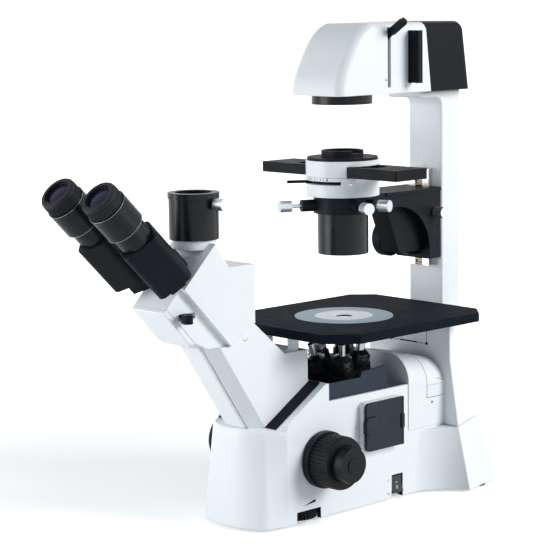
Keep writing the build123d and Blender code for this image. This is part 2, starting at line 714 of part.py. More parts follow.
with BuildPart() as arm:
    side_block([(ARM_FRONT_FOOT_Y, NOSE_TOP), (ARM_FRONT_TOP_Y, ARM_STEP), (ARM_STEP_Y, ARM_STEP),
                (ARM_TOP_Y, ARM_TOP), (ARM_SHELF_Y, ARM_LEDGE), (ARM_BACK_Y, ARM_LEDGE),
                (ARM_BACK_Y, slope(ARM_BACK_Y)), (SLOPE_FOOT_Y, NOSE_TOP)], ARM_HALF)
    front_edges = arm.edges().filter_by_position(Axis.Y, AXIS_Y + ARM_FRONT_TOP_Y, AXIS_Y + ARM_FRONT_FOOT_Y)
    chamfer(front_edges.filter_by(lambda e: e.length > ARM_STEP - NOSE_TOP), length=ARM_BEVEL)
    for sign in (-1, 1):
        drum(STAGE_POST_R, ARM_LEDGE, STAGE_BOTTOM, sign * STAGE_POST_X, STAGE_POST_Y)
finish(arm, "arm")

eye_s = sin(radians(EYE_TILT))
eye_c = cos(radians(EYE_TILT))
PIVOT_SHIFT = SWING_R * sin(radians(EYE_SWING))


def face_z(y):
    """Height of the sloping face that carries the eyepiece arms."""
    return y + FACE_SUM


with BuildPart() as head:
    side_block([(HEAD_RIDGE_Y, face_z(HEAD_RIDGE_Y)), (HEAD_SADDLE_Y, HEAD_ROOF), (ARM_TOP_Y, HEAD_ROOF),
                (ARM_TOP_Y, ARM_TOP), (ARM_STEP_Y, ARM_STEP), (HEAD_EDGE_Y, face_z(HEAD_EDGE_Y))], HEAD_HALF)
    side_block([(HEAD_EDGE_Y, face_z(HEAD_EDGE_Y)), (CHIN_FRONT_Y, face_z(CHIN_FRONT_Y)),
                (CHIN_FOOT_Y, CHIN_FOOT),
                (ARM_FRONT_TOP_Y, ARM_STEP), (ARM_STEP_Y, ARM_STEP)], CHIN_HALF)
    drum(NECK_R, PHOTO_BOTTOM - NECK_HEIGHT, PHOTO_BOTTOM, 0, PHOTO_Y)
    # Slot for the light path lever, open to the right
    box_between(LEVER_PIVOT_X - LEVER_EYE_R - RUN, HEAD_HALF + RUN, LEVER_PIVOT_Y - LEVER_SLOT,
                LEVER_PIVOT_Y + LEVER_EYE_R + RUN, LEVER_Z - LEVER_THICK, LEVER_Z + LEVER_THICK,
                Mode.SUBTRACT)
    drum(LEVER_PIN_R + FIT, LEVER_Z - LEVER_PIN_HALF - RUN, LEVER_Z + LEVER_PIN_HALF + RUN, LEVER_PIVOT_X,
         LEVER_PIVOT_Y, Mode.SUBTRACT)
    # Hub that both eyepiece arms turn on
    hub_root = (0, AXIS_Y + EYE_Y + EYE_FACE * eye_c + PIVOT_SHIFT * eye_s,
                EYE_Z - EYE_FACE * eye_s + PIVOT_SHIFT * eye_c)
    with BuildSketch(Plane(origin=hub_root, x_dir=(1, 0, 0), z_dir=(0, -eye_c, eye_s))):
        Circle(HUB_R)
    extrude(amount=EYE_FACE - HUB_END)
finish(head, "head")

with BuildPart() as front_cover:
    side_block([(ARM_FRONT_FOOT_Y, NOSE_TOP), (ARM_FRONT_TOP_Y, ARM_STEP), (CHIN_FOOT_Y, CHIN_FOOT),
                (CHIN_FRONT_Y, face_z(CHIN_FRONT_Y)),
                (CHIN_FRONT_Y - COVER_THICK, face_z(CHIN_FRONT_Y) - COVER_THICK),
                (CHIN_FOOT_Y - COVER_THICK, CHIN_FOOT - COVER_THICK),
                (ARM_FRONT_TOP_Y - COVER_THICK, ARM_STEP),
                (ARM_FRONT_FOOT_Y - COVER_THICK, NOSE_TOP)], COVER_HIGH_HALF)
    with BuildSketch(FRONT):
        outline((-COVER_LOW_HALF, NOSE_TOP), (COVER_LOW_HALF, NOSE_TOP), (COVER_LOW_HALF, ARM_STEP),
                (COVER_HIGH_HALF, CHIN_FOOT), (COVER_HIGH_HALF, HEAD_ROOF), (-COVER_HIGH_HALF, HEAD_ROOF),
                (-COVER_HIGH_HALF, CHIN_FOOT), (-COVER_LOW_HALF, ARM_STEP))
    extrude(amount=FAR, both=True, mode=Mode.INTERSECT)
finish(front_cover, "front_cover")

# Black strips on the slope, one each side of the arm
with BuildPart() as slope_trim:
    side_block([(SLOPE_FOOT_Y, NOSE_TOP), (SLOPE_HEAD_Y, SLOPE_TOP), (SLOPE_HEAD_Y, SLOPE_TOP + TRIM_THICK),
                (SLOPE_FOOT_Y, NOSE_TOP + TRIM_THICK)], BASE_HALF)
    strip_in = ARM_HALF + SEAT
    strip_out = ARM_HALF + TRIM_WIDTH
    with BuildSketch(TOP):
        for sign in (-1, 1):
            outline((sign * strip_in, SLOPE_FOOT_Y), (sign * strip_out, SLOPE_FOOT_Y),
                    (sign * strip_out, SLOPE_HEAD_Y),
                    (sign * strip_in, SLOPE_HEAD_Y))
    extrude(amount=FAR, mode=Mode.INTERSECT)
finish(slope_trim, "slope_trim")

# Stage
with BuildPart() as stage_plate:
    with BuildSketch(TOP.offset(STAGE_BOTTOM)):
        half = STAGE_WIDTH / 2
        front_y = STAGE_MID_Y - STAGE_DEPTH / 2
        back_y = STAGE_MID_Y + STAGE_DEPTH / 2
        outline((STAGE_FRONT_CUT - half, front_y), (half - STAGE_FRONT_CUT, front_y),
                (half, front_y + STAGE_FRONT_CUT),
                (half, back_y - STAGE_BACK_CUT), (half - STAGE_BACK_CUT, back_y),
                (STAGE_BACK_CUT - half, back_y),
                (-half, back_y - STAGE_BACK_CUT), (-half, front_y + STAGE_FRONT_CUT))
    extrude(amount=STAGE_THICK)
    drum(INSERT_R - INSERT_LIP, STAGE_BOTTOM, STAGE_TOP, mode=Mode.SUBTRACT)
    drum(INSERT_R + RUN, STAGE_TOP - INSERT_THICK, STAGE_TOP, mode=Mode.SUBTRACT)
finish(stage_plate, "stage_plate")

with BuildPart() as stage_insert:
    drum(INSERT_R, STAGE_TOP - INSERT_THICK, STAGE_TOP)
    drum(DISC_R - INSERT_LIP, STAGE_TOP - INSERT_THICK, STAGE_TOP, mode=Mode.SUBTRACT)
    drum(DISC_R + SEAT, STAGE_TOP - DISC_THICK, STAGE_TOP, mode=Mode.SUBTRACT)
finish(stage_insert, "stage_insert")

with BuildPart() as insert_disc:
    drum(DISC_R, STAGE_TOP - DISC_THICK, STAGE_TOP)
    drum(DISC_HOLE_R, STAGE_TOP - DISC_THICK, STAGE_TOP, mode=Mode.SUBTRACT)
finish(insert_disc, "insert_disc")

# Lamp house: white shell in front, black cover behind


def lamp_front(inset):
    """Side view of the white part of the lamp house, drawn smaller by the inset."""
    low = LAMP_BOTTOM + inset
    high = LAMP_TOP - inset
    with BuildLine() as edge:
        Spline((LAMP_FRONT_Y + inset, low), (LAMP_FOREHEAD_Y + inset, LAMP_FOREHEAD),
               (LAMP_BROW_Y + inset, high),
               tangents=((0, 1), (1, LAMP_BROW_RISE)))
        Polyline((LAMP_BROW_Y + inset, high), (LAMP_SPLIT_TOP_Y, high), (LAMP_SPLIT_LOW_Y, low),
                 (LAMP_FRONT_Y + inset, low))
    make_face(edge.edges())


def soft_edges(builder):
    """Long edges along the front, the top and the back of a lamp cover, at both sides."""
    sides = builder.faces().filter_by(Axis.X)
    edges = ShapeList([edge for face in sides for edge in face.edges()])
    return edges.filter_by(lambda e: (e @ 0.5).Z > LAMP_BOTTOM + RUN and not joint_edge(e))


def joint_edge(edge):
    """True for an edge that lies on the joint between the two lamp covers."""
    ends = sorted(((edge @ 0).Z, (edge @ 1).Z))
    low_y = AXIS_Y + LAMP_SPLIT_LOW_Y
    high_y = AXIS_Y + LAMP_SPLIT_TOP_Y
    across = abs((edge @ 0.5).Y - (low_y + high_y) / 2)
    return ends[0] < LAMP_BOTTOM + RUN and ends[1] > LAMP_TOP - RUN and across < RUN


iris_slot = LAMP_HALF * tan(radians(IRIS_ANGLE)) + IRIS_BAR
with BuildPart() as lamp_shell:
    with BuildSketch(SIDE):
        lamp_front(0)
    extrude(amount=LAMP_HALF, both=True)
    fillet(soft_edges(lamp_shell), radius=LAMP_SOFT)
    with BuildSketch(SIDE):
        lamp_front(LAMP_WALL)
    extrude(amount=LAMP_HALF - LAMP_WALL, both=True, mode=Mode.SUBTRACT)
    drum(FIELD_BORE_R, LAMP_BOTTOM, LAMP_BOTTOM + LAMP_WALL, mode=Mode.SUBTRACT)
    # Slots in the right wall for the iris lever and for the filter slider
    box_between(LAMP_HALF - LAMP_WALL - RUN, LAMP_HALF + RUN, IRIS_Y - IRIS_THICK, IRIS_Y + IRIS_THICK,
                LIGHT_Z - iris_slot, LIGHT_Z + iris_slot, Mode.SUBTRACT)
    box_between(LAMP_HALF - LAMP_WALL - RUN, LAMP_HALF + RUN, FILTER_Y - FILTER_THICK / 2 - RUN,
                FILTER_Y + FILTER_THICK / 2 + RUN, LIGHT_Z - FILTER_HALF_HEIGHT - RUN,
                LIGHT_Z + FILTER_HALF_HEIGHT + RUN, Mode.SUBTRACT)
finish(lamp_shell, "lamp_shell")


def lamp_rear(inset):
    """Side view of the black rear cover, drawn smaller by the inset."""
    low = LAMP_BOTTOM + inset
    high = LAMP_TOP - inset
    with BuildLine() as edge:
        FilletPolyline((LAMP_SPLIT_TOP_Y, high), (LAMP_BACK_TOP_Y - inset, high),
                       (LAMP_BACK_LOW_Y - inset, low),
                       radius=LAMP_ROUND)
        Polyline((LAMP_BACK_LOW_Y - inset, low), (LAMP_SPLIT_LOW_Y, low), (LAMP_SPLIT_TOP_Y, high))
    make_face(edge.edges())


with BuildPart() as lamp_rear_cover:
    with BuildSketch(SIDE):
        lamp_rear(0)
    extrude(amount=LAMP_HALF, both=True)
    fillet(soft_edges(lamp_rear_cover), radius=LAMP_SOFT)
    with BuildSketch(SIDE):
        lamp_rear(LAMP_WALL)
    extrude(amount=LAMP_HALF - LAMP_WALL, both=True, mode=Mode.SUBTRACT)
finish(lamp_rear_cover, "lamp_rear_cover")

with BuildPart() as field_ring:
    drum(FIELD_R, LAMP_BOTTOM - FIELD_DROP, LAMP_BOTTOM)
    drum(FIELD_BORE_R, LAMP_BOTTOM - FIELD_DROP, LAMP_BOTTOM, mode=Mode.SUBTRACT)
    drum(FIELD_LENS_R + SEAT, LAMP_BOTTOM - FIELD_LENS_THICK, LAMP_BOTTOM, mode=Mode.SUBTRACT)
finish(field_ring, "field_ring")

with BuildPart() as field_lens:
    drum(FIELD_LENS_R, LAMP_BOTTOM - FIELD_LENS_THICK, LAMP_BOTTOM)
finish(field_lens, "field_lens")

# Light source inside the lamp house
socket_y = LAMP_BACK_TOP_Y - LAMP_WALL - SOCKET_LENGTH
bracket_low = LAMP_BOTTOM + LAMP_WALL


def along(y):
    """Plane across the level light path, looking towards the front."""
    return FRONT.offset(-y)


with BuildPart() as lamp_socket:
    with BuildSketch(along(socket_y)):
        with Locations((0, LIGHT_Z)):
            Circle(SOCKET_R)
    extrude(amount=-SOCKET_LENGTH / 2)
    box_between(-SOCKET_R, SOCKET_R, socket_y, socket_y + SOCKET_PLATE, bracket_low, LIGHT_Z)
finish(lamp_socket, "lamp_socket")

with BuildPart() as lamp_bulb:
    with BuildSketch(along(socket_y)):
        with Locations((0, LIGHT_Z)):
            Circle(BULB_R)
    extrude(amount=BULB_LENGTH)
    fillet(lamp_bulb.edges().sort_by(Axis.Y)[0], radius=BULB_R - BULB_TIP)
finish(lamp_bulb, "lamp_bulb")

with BuildPart() as collector_lens:
    with BuildSketch(along(COLLECTOR_Y)):
        with Locations((0, LIGHT_Z)):
            Circle(COLLECTOR_R)
    extrude(amount=COLLECTOR_THICK / 2, both=True)
    fillet(collector_lens.edges().sort_by(Axis.Y)[0], radius=COLLECTOR_THICK / 2)
finish(collector_lens, "collector_lens")

MIRROR_PLANE = Plane(origin=(0, AXIS_Y, LIGHT_Z), x_dir=(1, 0, 0), z_dir=(0, 1, -1))
with BuildPart() as lamp_mirror:
    with BuildSketch(MIRROR_PLANE):
        Rectangle(MIRROR_SIZE, MIRROR_SIZE)
    extrude(amount=-MIRROR_THICK)
finish(lamp_mirror, "lamp_mirror")

with BuildPart() as filter_slider:
    handle_x = LAMP_HALF + RUN
    filter_half = LAMP_HALF - LAMP_WALL - FILTER_ROOM
    box_between(-filter_half, handle_x, FILTER_Y - FILTER_THICK / 2, FILTER_Y + FILTER_THICK / 2,
                LIGHT_Z - FILTER_HALF_HEIGHT, LIGHT_Z + FILTER_HALF_HEIGHT)
    with BuildSketch(along(FILTER_Y)):
        with Locations((0, LIGHT_Z)):
            Circle(FILTER_BORE_R)
    extrude(amount=FILTER_THICK, both=True, mode=Mode.SUBTRACT)
    box_between(handle_x, handle_x + FILTER_HANDLE_REACH, FILTER_Y - FILTER_HANDLE_THICK / 2,
                FILTER_Y + FILTER_HANDLE_THICK / 2, LIGHT_Z - FILTER_HANDLE_HALF,
                LIGHT_Z + FILTER_HANDLE_HALF)
    # Finger notches at both ends of the handle
    with BuildSketch(along(FILTER_Y)):
        for sign in (-1, 1):
            with Locations((handle_x + FILTER_HANDLE_REACH / 2, LIGHT_Z + sign * FILTER_HANDLE_HALF)):
                Rectangle(FILTER_NOTCH, FILTER_NOTCH, rotation=45)
    extrude(amount=FILTER_HANDLE_THICK, both=True, mode=Mode.SUBTRACT)
finish(filter_slider, "filter_slider")

IRIS_PLANE = Plane(origin=(0, AXIS_Y + IRIS_Y, LIGHT_Z), x_dir=(cos(radians(IRIS_ANGLE)), 0,
                                                                sin(radians(IRIS_ANGLE))),
                   z_dir=(0, -1, 0))
with BuildPart() as field_iris:
    with BuildSketch(IRIS_PLANE):
        Circle(IRIS_RING_R)
        with Locations(((IRIS_BORE_R + IRIS_REACH) / 2, 0)):
            Rectangle(IRIS_REACH - IRIS_BORE_R, IRIS_BAR)
        Circle(IRIS_BORE_R, mode=Mode.SUBTRACT)
    extrude(amount=IRIS_THICK / 2, both=True)
    with BuildSketch(IRIS_PLANE):
        with Locations(((IRIS_GRIP_START + IRIS_REACH) / 2, 0)):
            SlotOverall(IRIS_REACH - IRIS_GRIP_START, IRIS_BAR)
    extrude(amount=IRIS_GRIP_HALF, both=True)
finish(field_iris, "field_iris")

mirror_reach = MIRROR_SIZE / 2 * sin(radians(45))
with BuildPart() as lamp_chassis:
    seat_half = IRIS_RING_R + IRIS_SEAT_THICK
    seat_y = IRIS_Y + IRIS_THICK / 2 + RUN
    mount_half = COLLECTOR_R + CHASSIS_WALL
    mirror_in = MIRROR_SIZE / 2 + SEAT
    floor_high = bracket_low + CHASSIS_WALL
    # Floor strip with a hole for the beam
    box_between(-CHASSIS_HALF, CHASSIS_HALF, -mirror_reach, COLLECTOR_Y + CHASSIS_WALL / 2, bracket_low,
                floor_high)
    # Cheeks beside the mirror
    side_block([(-mirror_reach, bracket_low), (mirror_reach, bracket_low),
                (mirror_reach, LIGHT_Z + mirror_reach),
                (-mirror_reach, LIGHT_Z - mirror_reach)], CHASSIS_HALF)
    box_between(-mirror_in, mirror_in, -FAR, mirror_reach, floor_high, LAMP_TOP, Mode.SUBTRACT)
    drum(FIELD_BORE_R, bracket_low, floor_high, mode=Mode.SUBTRACT)
    # Seat of the iris ring
    box_between(-seat_half, seat_half, seat_y, seat_y + IRIS_SEAT_THICK, bracket_low, LIGHT_Z + seat_half)
    with BuildSketch(along(seat_y)):
        with Locations((0, LIGHT_Z)):
            Circle(IRIS_BORE_R - FIT)
    extrude(amount=IRIS_THICK + RUN)
    with BuildSketch(along(seat_y + IRIS_SEAT_THICK)):
        with Locations((0, LIGHT_Z)):
            Circle(IRIS_BORE_R - IRIS_SEAT_THICK)
    extrude(amount=IRIS_SEAT_THICK + IRIS_THICK + RUN, mode=Mode.SUBTRACT)
    # Mount of the collector lens
    box_between(-mount_half, mount_half, COLLECTOR_Y - CHASSIS_WALL / 2, COLLECTOR_Y + CHASSIS_WALL / 2,
                bracket_low, LIGHT_Z + mount_half)
    with BuildSketch(along(COLLECTOR_Y)):
        with Locations((0, LIGHT_Z)):
            Circle(COLLECTOR_R + SEAT)
    extrude(amount=COLLECTOR_THICK, both=True, mode=Mode.SUBTRACT)
finish(lamp_chassis, "lamp_chassis")

# Condenser rail on the front of the post, with the rack in its groove
with BuildPart() as carrier_rail:
    rail_front = POST_FRONT_Y - RAIL_DEPTH
    with BuildSketch(TOP.offset(RAIL_BOTTOM)):
        outline((-RAIL_NECK_HALF, POST_FRONT_Y), (RAIL_NECK_HALF, POST_FRONT_Y), (RAIL_HALF, rail_front),
                (RACK_GROOVE_HALF, rail_front), (RACK_GROOVE_HALF, rail_front + RACK_GROOVE_DEPTH),
                (-RACK_GROOVE_HALF, rail_front + RACK_GROOVE_DEPTH), (-RACK_GROOVE_HALF, rail_front),
                (-RAIL_HALF, rail_front))
    extrude(amount=RAIL_TOP - RAIL_BOTTOM)
    groove_y = rail_front + RACK_GROOVE_DEPTH
    tooth_y = groove_y - RACK_GROOVE_DEPTH / 2
    box_between(-RACK_GROOVE_HALF, RACK_GROOVE_HALF, tooth_y, groove_y, RAIL_BOTTOM, RAIL_TOP)
    with BuildSketch(SIDE):
        for tooth in range(int((RAIL_TOP - RAIL_BOTTOM) / RACK_PITCH)):
            low = RAIL_BOTTOM + RACK_PITCH * tooth
            outline((tooth_y + RACK_TOOTH, low), (tooth_y, low), (tooth_y - RACK_TOOTH,
                                                                  low + RACK_PITCH * TOOTH_RISE),
                    (tooth_y - RACK_TOOTH, low + RACK_PITCH * TOOTH_CREST),
                    (tooth_y, low + RACK_PITCH * TOOTH_FOOT),
                    (tooth_y + RACK_TOOTH, low + RACK_PITCH * TOOTH_FOOT))
    extrude(amount=RACK_GROOVE_HALF, both=True)
finish(carrier_rail, "carrier_rail")

# Condenser carrier
pinion_r = tooth_y - RACK_TOOTH - RUN - CARRIER_KNOB_Y


def screw_plane(turn):
    """Plane across one of the screws around the condenser barrel, z pointing outwards."""
    return Plane(origin=(0, AXIS_Y, SCREW_Z), z_dir=(cos(radians(turn)), sin(radians(turn)), 0))


with BuildPart() as condenser_carrier:
    with BuildSketch(SIDE):
        with BuildLine():
            Polyline((CARRIER_WALL_Y, CARRIER_BOTTOM), (CARRIER_BACK_Y, CARRIER_BOTTOM),
                     (CARRIER_BACK_Y, CARRIER_TOP),
                     (CARRIER_ARM_Y, CARRIER_TOP), (CARRIER_ARM_Y, CARRIER_ARCH_TOP),
                     (CARRIER_ARCH_Y, CARRIER_ARCH_TOP))
            TangentArc((CARRIER_ARCH_Y, CARRIER_ARCH_TOP), (CARRIER_WALL_Y, CARRIER_BOTTOM), tangent=(1, 0))
        make_face()
    extrude(amount=CARRIER_HALF, both=True)
    lip_half = CARRIER_HALF + CARRIER_LIP
    box_between(-lip_half, lip_half, CARRIER_LIP_Y, CARRIER_BACK_Y, CARRIER_TOP - CARRIER_LIP_THICK,
                CARRIER_TOP)
    side_block([(CARRIER_BLOCK_LOW_Y, CARRIER_BLOCK_BOTTOM), (CARRIER_WALL_Y, CARRIER_BLOCK_BOTTOM),
                (CARRIER_WALL_Y, CARRIER_BLOCK_TOP), (CARRIER_BLOCK_TOP_Y, CARRIER_BLOCK_TOP)],
                CARRIER_BLOCK_HALF)
    drum(HOLDER_R, HOLDER_BOTTOM, DRUM_BOTTOM)
    for turn, boss_r, head_r in CENTRING_SCREWS.values():
        with BuildSketch(screw_plane(turn).offset(BARREL_R)):
            Circle(SCREW_BOSS_R)
        extrude(amount=boss_r - BARREL_R)
    drum(BARREL_R + SEAT, CARRIER_BOTTOM, DRUM_TOP, mode=Mode.SUBTRACT)
    with BuildSketch(TOP.offset(CARRIER_BOTTOM)):
        outline((-RAIL_NECK_HALF - RUN, POST_FRONT_Y), (RAIL_NECK_HALF + RUN, POST_FRONT_Y),
                (RAIL_HALF + RUN, rail_front - RUN), (-RAIL_HALF - RUN, rail_front - RUN))
    extrude(amount=DRUM_TOP - CARRIER_BOTTOM, mode=Mode.SUBTRACT)
    cross_drum(CARRIER_SHAFT_R + FIT, -CARRIER_HALF, CARRIER_BLOCK_HALF - CARRIER_SHAFT_CAP,
               CARRIER_KNOB_Y, CARRIER_KNOB_Z,
               Mode.SUBTRACT)
    pinion_room = CARRIER_PINION_HALF + RUN
    cross_drum(pinion_r + RUN, -pinion_room, pinion_room, CARRIER_KNOB_Y, CARRIER_KNOB_Z, Mode.SUBTRACT)
    cross_drum(SCREW_R + FIT, RAIL_HALF, CARRIER_HALF, CARRIER_SCREW_Y, CARRIER_SCREW_Z, Mode.SUBTRACT)
    for turn, boss_r, head_r in CENTRING_SCREWS.values():
        with BuildSketch(screw_plane(turn).offset(BARREL_R)):
            Circle(SCREW_R + FIT)
        extrude(amount=head_r - BARREL_R, mode=Mode.SUBTRACT)
finish(condenser_carrier, "condenser_carrier")

with BuildPart() as carrier_knob:
    knob_end = CARRIER_KNOB_START + CARRIER_KNOB_LENGTH
    cross_drum(CARRIER_SHAFT_R, -CARRIER_KNOB_START, CARRIER_BLOCK_HALF - CARRIER_SHAFT_CAP - RUN,
               CARRIER_KNOB_Y, CARRIER_KNOB_Z)
    cross_drum(pinion_r, -CARRIER_PINION_HALF, CARRIER_PINION_HALF, CARRIER_KNOB_Y, CARRIER_KNOB_Z)
    cross_drum(CARRIER_KNOB_R, -knob_end, -CARRIER_KNOB_START, CARRIER_KNOB_Y, CARRIER_KNOB_Z)
    chamfer(carrier_knob.edges().filter_by(GeomType.CIRCLE).sort_by(Axis.X)[0], length=KNOB_CHAMFER)
finish(carrier_knob, "carrier_knob")

with BuildPart() as carrier_clamp:
    head_x = CARRIER_HALF + CLAMP_LIFT
    cross_drum(SCREW_R, RAIL_HALF + CLAMP_TIP_GAP, head_x, CARRIER_SCREW_Y, CARRIER_SCREW_Z)
    cross_drum(SCREW_HEAD_R, head_x, head_x + SCREW_HEAD_LENGTH, CARRIER_SCREW_Y, CARRIER_SCREW_Z)
finish(carrier_clamp, "carrier_clamp")

for name, (turn, boss_r, head_r) in CENTRING_SCREWS.items():
    radial = screw_plane(turn)
    with BuildPart() as thumbscrew:
        with BuildSketch(radial.offset(BARREL_R + SCREW_TIP_GAP)):
            Circle(SCREW_R)
        extrude(amount=head_r - BARREL_R - SCREW_TIP_GAP)
        with BuildSketch(radial.offset(head_r)):
            Circle(SCREW_HEAD_R)
        extrude(amount=SCREW_HEAD_LENGTH)
    finish(thumbscrew, "centring_screw_" + name)

# Condenser
with BuildPart() as condenser_barrel:
    drum(BARREL_R, BARREL_BOTTOM, DRUM_BOTTOM)
    drum(BARREL_BORE_R, BARREL_BOTTOM, DRUM_BOTTOM, mode=Mode.SUBTRACT)
finish(condenser_barrel, "condenser_barrel")

with BuildPart() as condenser_lens:
    lens_z = BARREL_BOTTOM + CONDENSER_LENS_UP
    drum(BARREL_BORE_R - SEAT, lens_z, lens_z + CONDENSER_LENS_THICK)
    fillet(condenser_lens.edges().sort_by(Axis.Z)[-1], radius=CONDENSER_LENS_THICK / 2)
finish(condenser_lens, "condenser_lens")

with BuildPart() as condenser_drum:
    drum(DRUM_R, DRUM_BOTTOM, DRUM_TOP)
    drum(DRUM_BORE_R, DRUM_BOTTOM, DRUM_TOP, mode=Mode.SUBTRACT)
    box_between(-DRUM_R, DRUM_R, -SLIDER_WIDTH / 2 - RUN, SLIDER_WIDTH / 2 + RUN, SLIDER_BOTTOM - RUN,
                SLIDER_BOTTOM + SLIDER_THICK + RUN, Mode.SUBTRACT)
    # Room for the aperture ring, and the slot that its lever sweeps
    groove_low = APERTURE_Z - RUN
    groove_height = APERTURE_THICK + 2 * RUN
    with BuildSketch(TOP.offset(groove_low)):
        Circle(APERTURE_OUT_R + RUN)
        Circle(APERTURE_IN_R - FIT, mode=Mode.SUBTRACT)
    extrude(amount=groove_height, mode=Mode.SUBTRACT)
    with BuildSketch(TOP.offset(groove_low)):
        with BuildLine():
            start = radians(APERTURE_ANGLE - APERTURE_BACK - APERTURE_ROOM)
            stop = radians(APERTURE_ANGLE + APERTURE_FORTH + APERTURE_ROOM)
            reach = DRUM_R * 2
            Polyline((0, 0), (reach * cos(start), reach * sin(start)),
                     (reach * cos((start + stop) / 2), reach * sin((start + stop) / 2)),
                     (reach * cos(stop), reach * sin(stop)), (0, 0))
        make_face()
        Circle(APERTURE_OUT_R, mode=Mode.SUBTRACT)
    extrude(amount=groove_height, mode=Mode.SUBTRACT)
finish(condenser_drum, "condenser_drum")

APERTURE_PLANE = Plane(origin=(0, AXIS_Y, APERTURE_Z),
                       x_dir=(cos(radians(APERTURE_ANGLE)), sin(radians(APERTURE_ANGLE)), 0), z_dir=(0, 0, 1))
with BuildPart() as aperture_lever:
    with BuildSketch(APERTURE_PLANE):
        Circle(APERTURE_OUT_R)
        with Locations((APERTURE_REACH / 2, 0)):
            Rectangle(APERTURE_REACH, APERTURE_BAR)
        Circle(APERTURE_IN_R, mode=Mode.SUBTRACT)
    extrude(amount=APERTURE_THICK)
finish(aperture_lever, "aperture_lever")

with BuildPart() as condenser_top:
    drum(TOP_DISC_R, DRUM_TOP, DRUM_TOP + TOP_DISC_THICK)
    drum(TOP_RING_R, DRUM_TOP, DRUM_TOP + TOP_DISC_THICK + TOP_RING_HEIGHT)
    drum(TOP_RING_R - TOP_RING_WALL, DRUM_TOP, DRUM_TOP + TOP_DISC_THICK + TOP_RING_HEIGHT,
         mode=Mode.SUBTRACT)
    box_between(TOP_NOTCH_IN, TOP_RING_R * 2, -TOP_NOTCH / 2, TOP_NOTCH / 2,
                DRUM_TOP + TOP_DISC_THICK + TOP_RING_WALL,
                DRUM_TOP + TOP_DISC_THICK + TOP_RING_HEIGHT, Mode.SUBTRACT)
finish(condenser_top, "condenser_top")

with BuildPart() as phase_slider:
    box_between(-SLIDER_HALF, SLIDER_HALF, -SLIDER_WIDTH / 2, SLIDER_WIDTH / 2, SLIDER_BOTTOM,
                SLIDER_BOTTOM + SLIDER_THICK)
    chamfer(phase_slider.edges().filter_by(Axis.Z), length=SLIDER_EDGE)
    for place in (-1, 0, 1):
        drum(SLIDER_HOLE_R, SLIDER_BOTTOM, SLIDER_BOTTOM + SLIDER_THICK, place * SLIDER_PITCH,
             mode=Mode.SUBTRACT)
finish(phase_slider, "phase_slider")

# Nosepiece carriage, its guide and the focus drive
rack_y = KNOB_Y + PINION_R + RUN
guide_y = rack_y + RACK_DEPTH + RUN

lean = radians(TURRET_LEAN)
turn = radians(TURRET_TURN)
APEX_Z = SEAT_Z - TURRET_PITCH_R / sin(lean)
SEAT_H = TURRET_PITCH_R / tan(lean)
TURRET_AXIS = (sin(lean) * cos(turn), sin(lean) * sin(turn), cos(lean))
APEX = Plane(origin=(0, AXIS_Y, APEX_Z), x_dir=(cos(lean) * cos(turn), cos(lean) * sin(turn), -sin(lean)),
             z_dir=TURRET_AXIS)
turret_low = SEAT_H - TURRET_THICK
SEAT_DISTANCE = TURRET_PITCH_R / sin(lean)

with BuildPart() as nosepiece_carriage:
    cheek_out = BASE_HALF - DECK_WALL - RUN
    cheek_in = cheek_out - CHEEK_THICK
    floor_top = CARRIAGE_FLOOR + CARRIAGE_FLOOR_THICK
    side_block([(CARRIAGE_FRONT_Y, CARRIAGE_FLOOR), (CARRIAGE_BACK_Y, CARRIAGE_FLOOR),
                (CARRIAGE_BACK_Y, CHEEK_HIGH),
                (CHEEK_STEP_Y, CHEEK_HIGH - CHEEK_DIP), (CHEEK_STEP_Y - CHEEK_RAMP, CHEEK_LOW),
                (CARRIAGE_FRONT_Y, CHEEK_LOW)],
               cheek_out)
    box_between(-cheek_in, cheek_in, CARRIAGE_FRONT_Y, CARRIAGE_BACK_Y, floor_top, STAGE_TOP, Mode.SUBTRACT)
    turned(APEX, [(0, turret_low - FAR), (TURRET_BOSS_R, turret_low - FAR), (TURRET_BOSS_R, turret_low - RUN),
                  (0, turret_low - RUN)])
    box_between(-FAR, FAR, -FAR, FAR, -FAR, CARRIAGE_FLOOR, Mode.SUBTRACT)
    turned(APEX, [(0, 0), (TURRET_HUB_R + FIT, 0), (TURRET_HUB_R + FIT, SEAT_H), (0, SEAT_H)], Mode.SUBTRACT)
    drum(TURRET_BORE_R + RUN, CARRIAGE_FLOOR, STAGE_TOP, mode=Mode.SUBTRACT)
    box_between(-RACK_HALF, RACK_HALF, rack_y, rack_y + RACK_DEPTH, RACK_FOOT, CARRIAGE_FLOOR)
    box_between(-BEAM_HALF, BEAM_HALF, rack_y, rack_y + RACK_DEPTH, FOLD_Z - BEAM_HALF - FOCUS_UP,
                FOLD_Z + BEAM_HALF + FOCUS_DOWN, Mode.SUBTRACT)
finish(nosepiece_carriage, "nosepiece_carriage")

turret_high = SEAT_H + (TURRET_PITCH_R - TURRET_CROWN) * tan(lean)
grip_r = TURRET_R - GRIP_DEPTH
grip_low = turret_low + (TURRET_THICK - GRIP_HEIGHT) / 2
seat_at_grip = SEAT_H - (grip_r - TURRET_PITCH_R) * tan(lean)


def objective_plane(place):
    """Plane whose z axis is one objective's axis, with its origin where the axes meet."""
    aside = radians(180 + 360 * place / TURRET_PLACES)
    outward = APEX.x_dir * cos(aside) + APEX.y_dir * sin(aside)
    return Plane(origin=APEX.origin, x_dir=outward * cos(lean) - APEX.z_dir * sin(lean),
                 z_dir=outward * sin(lean) + APEX.z_dir * cos(lean))


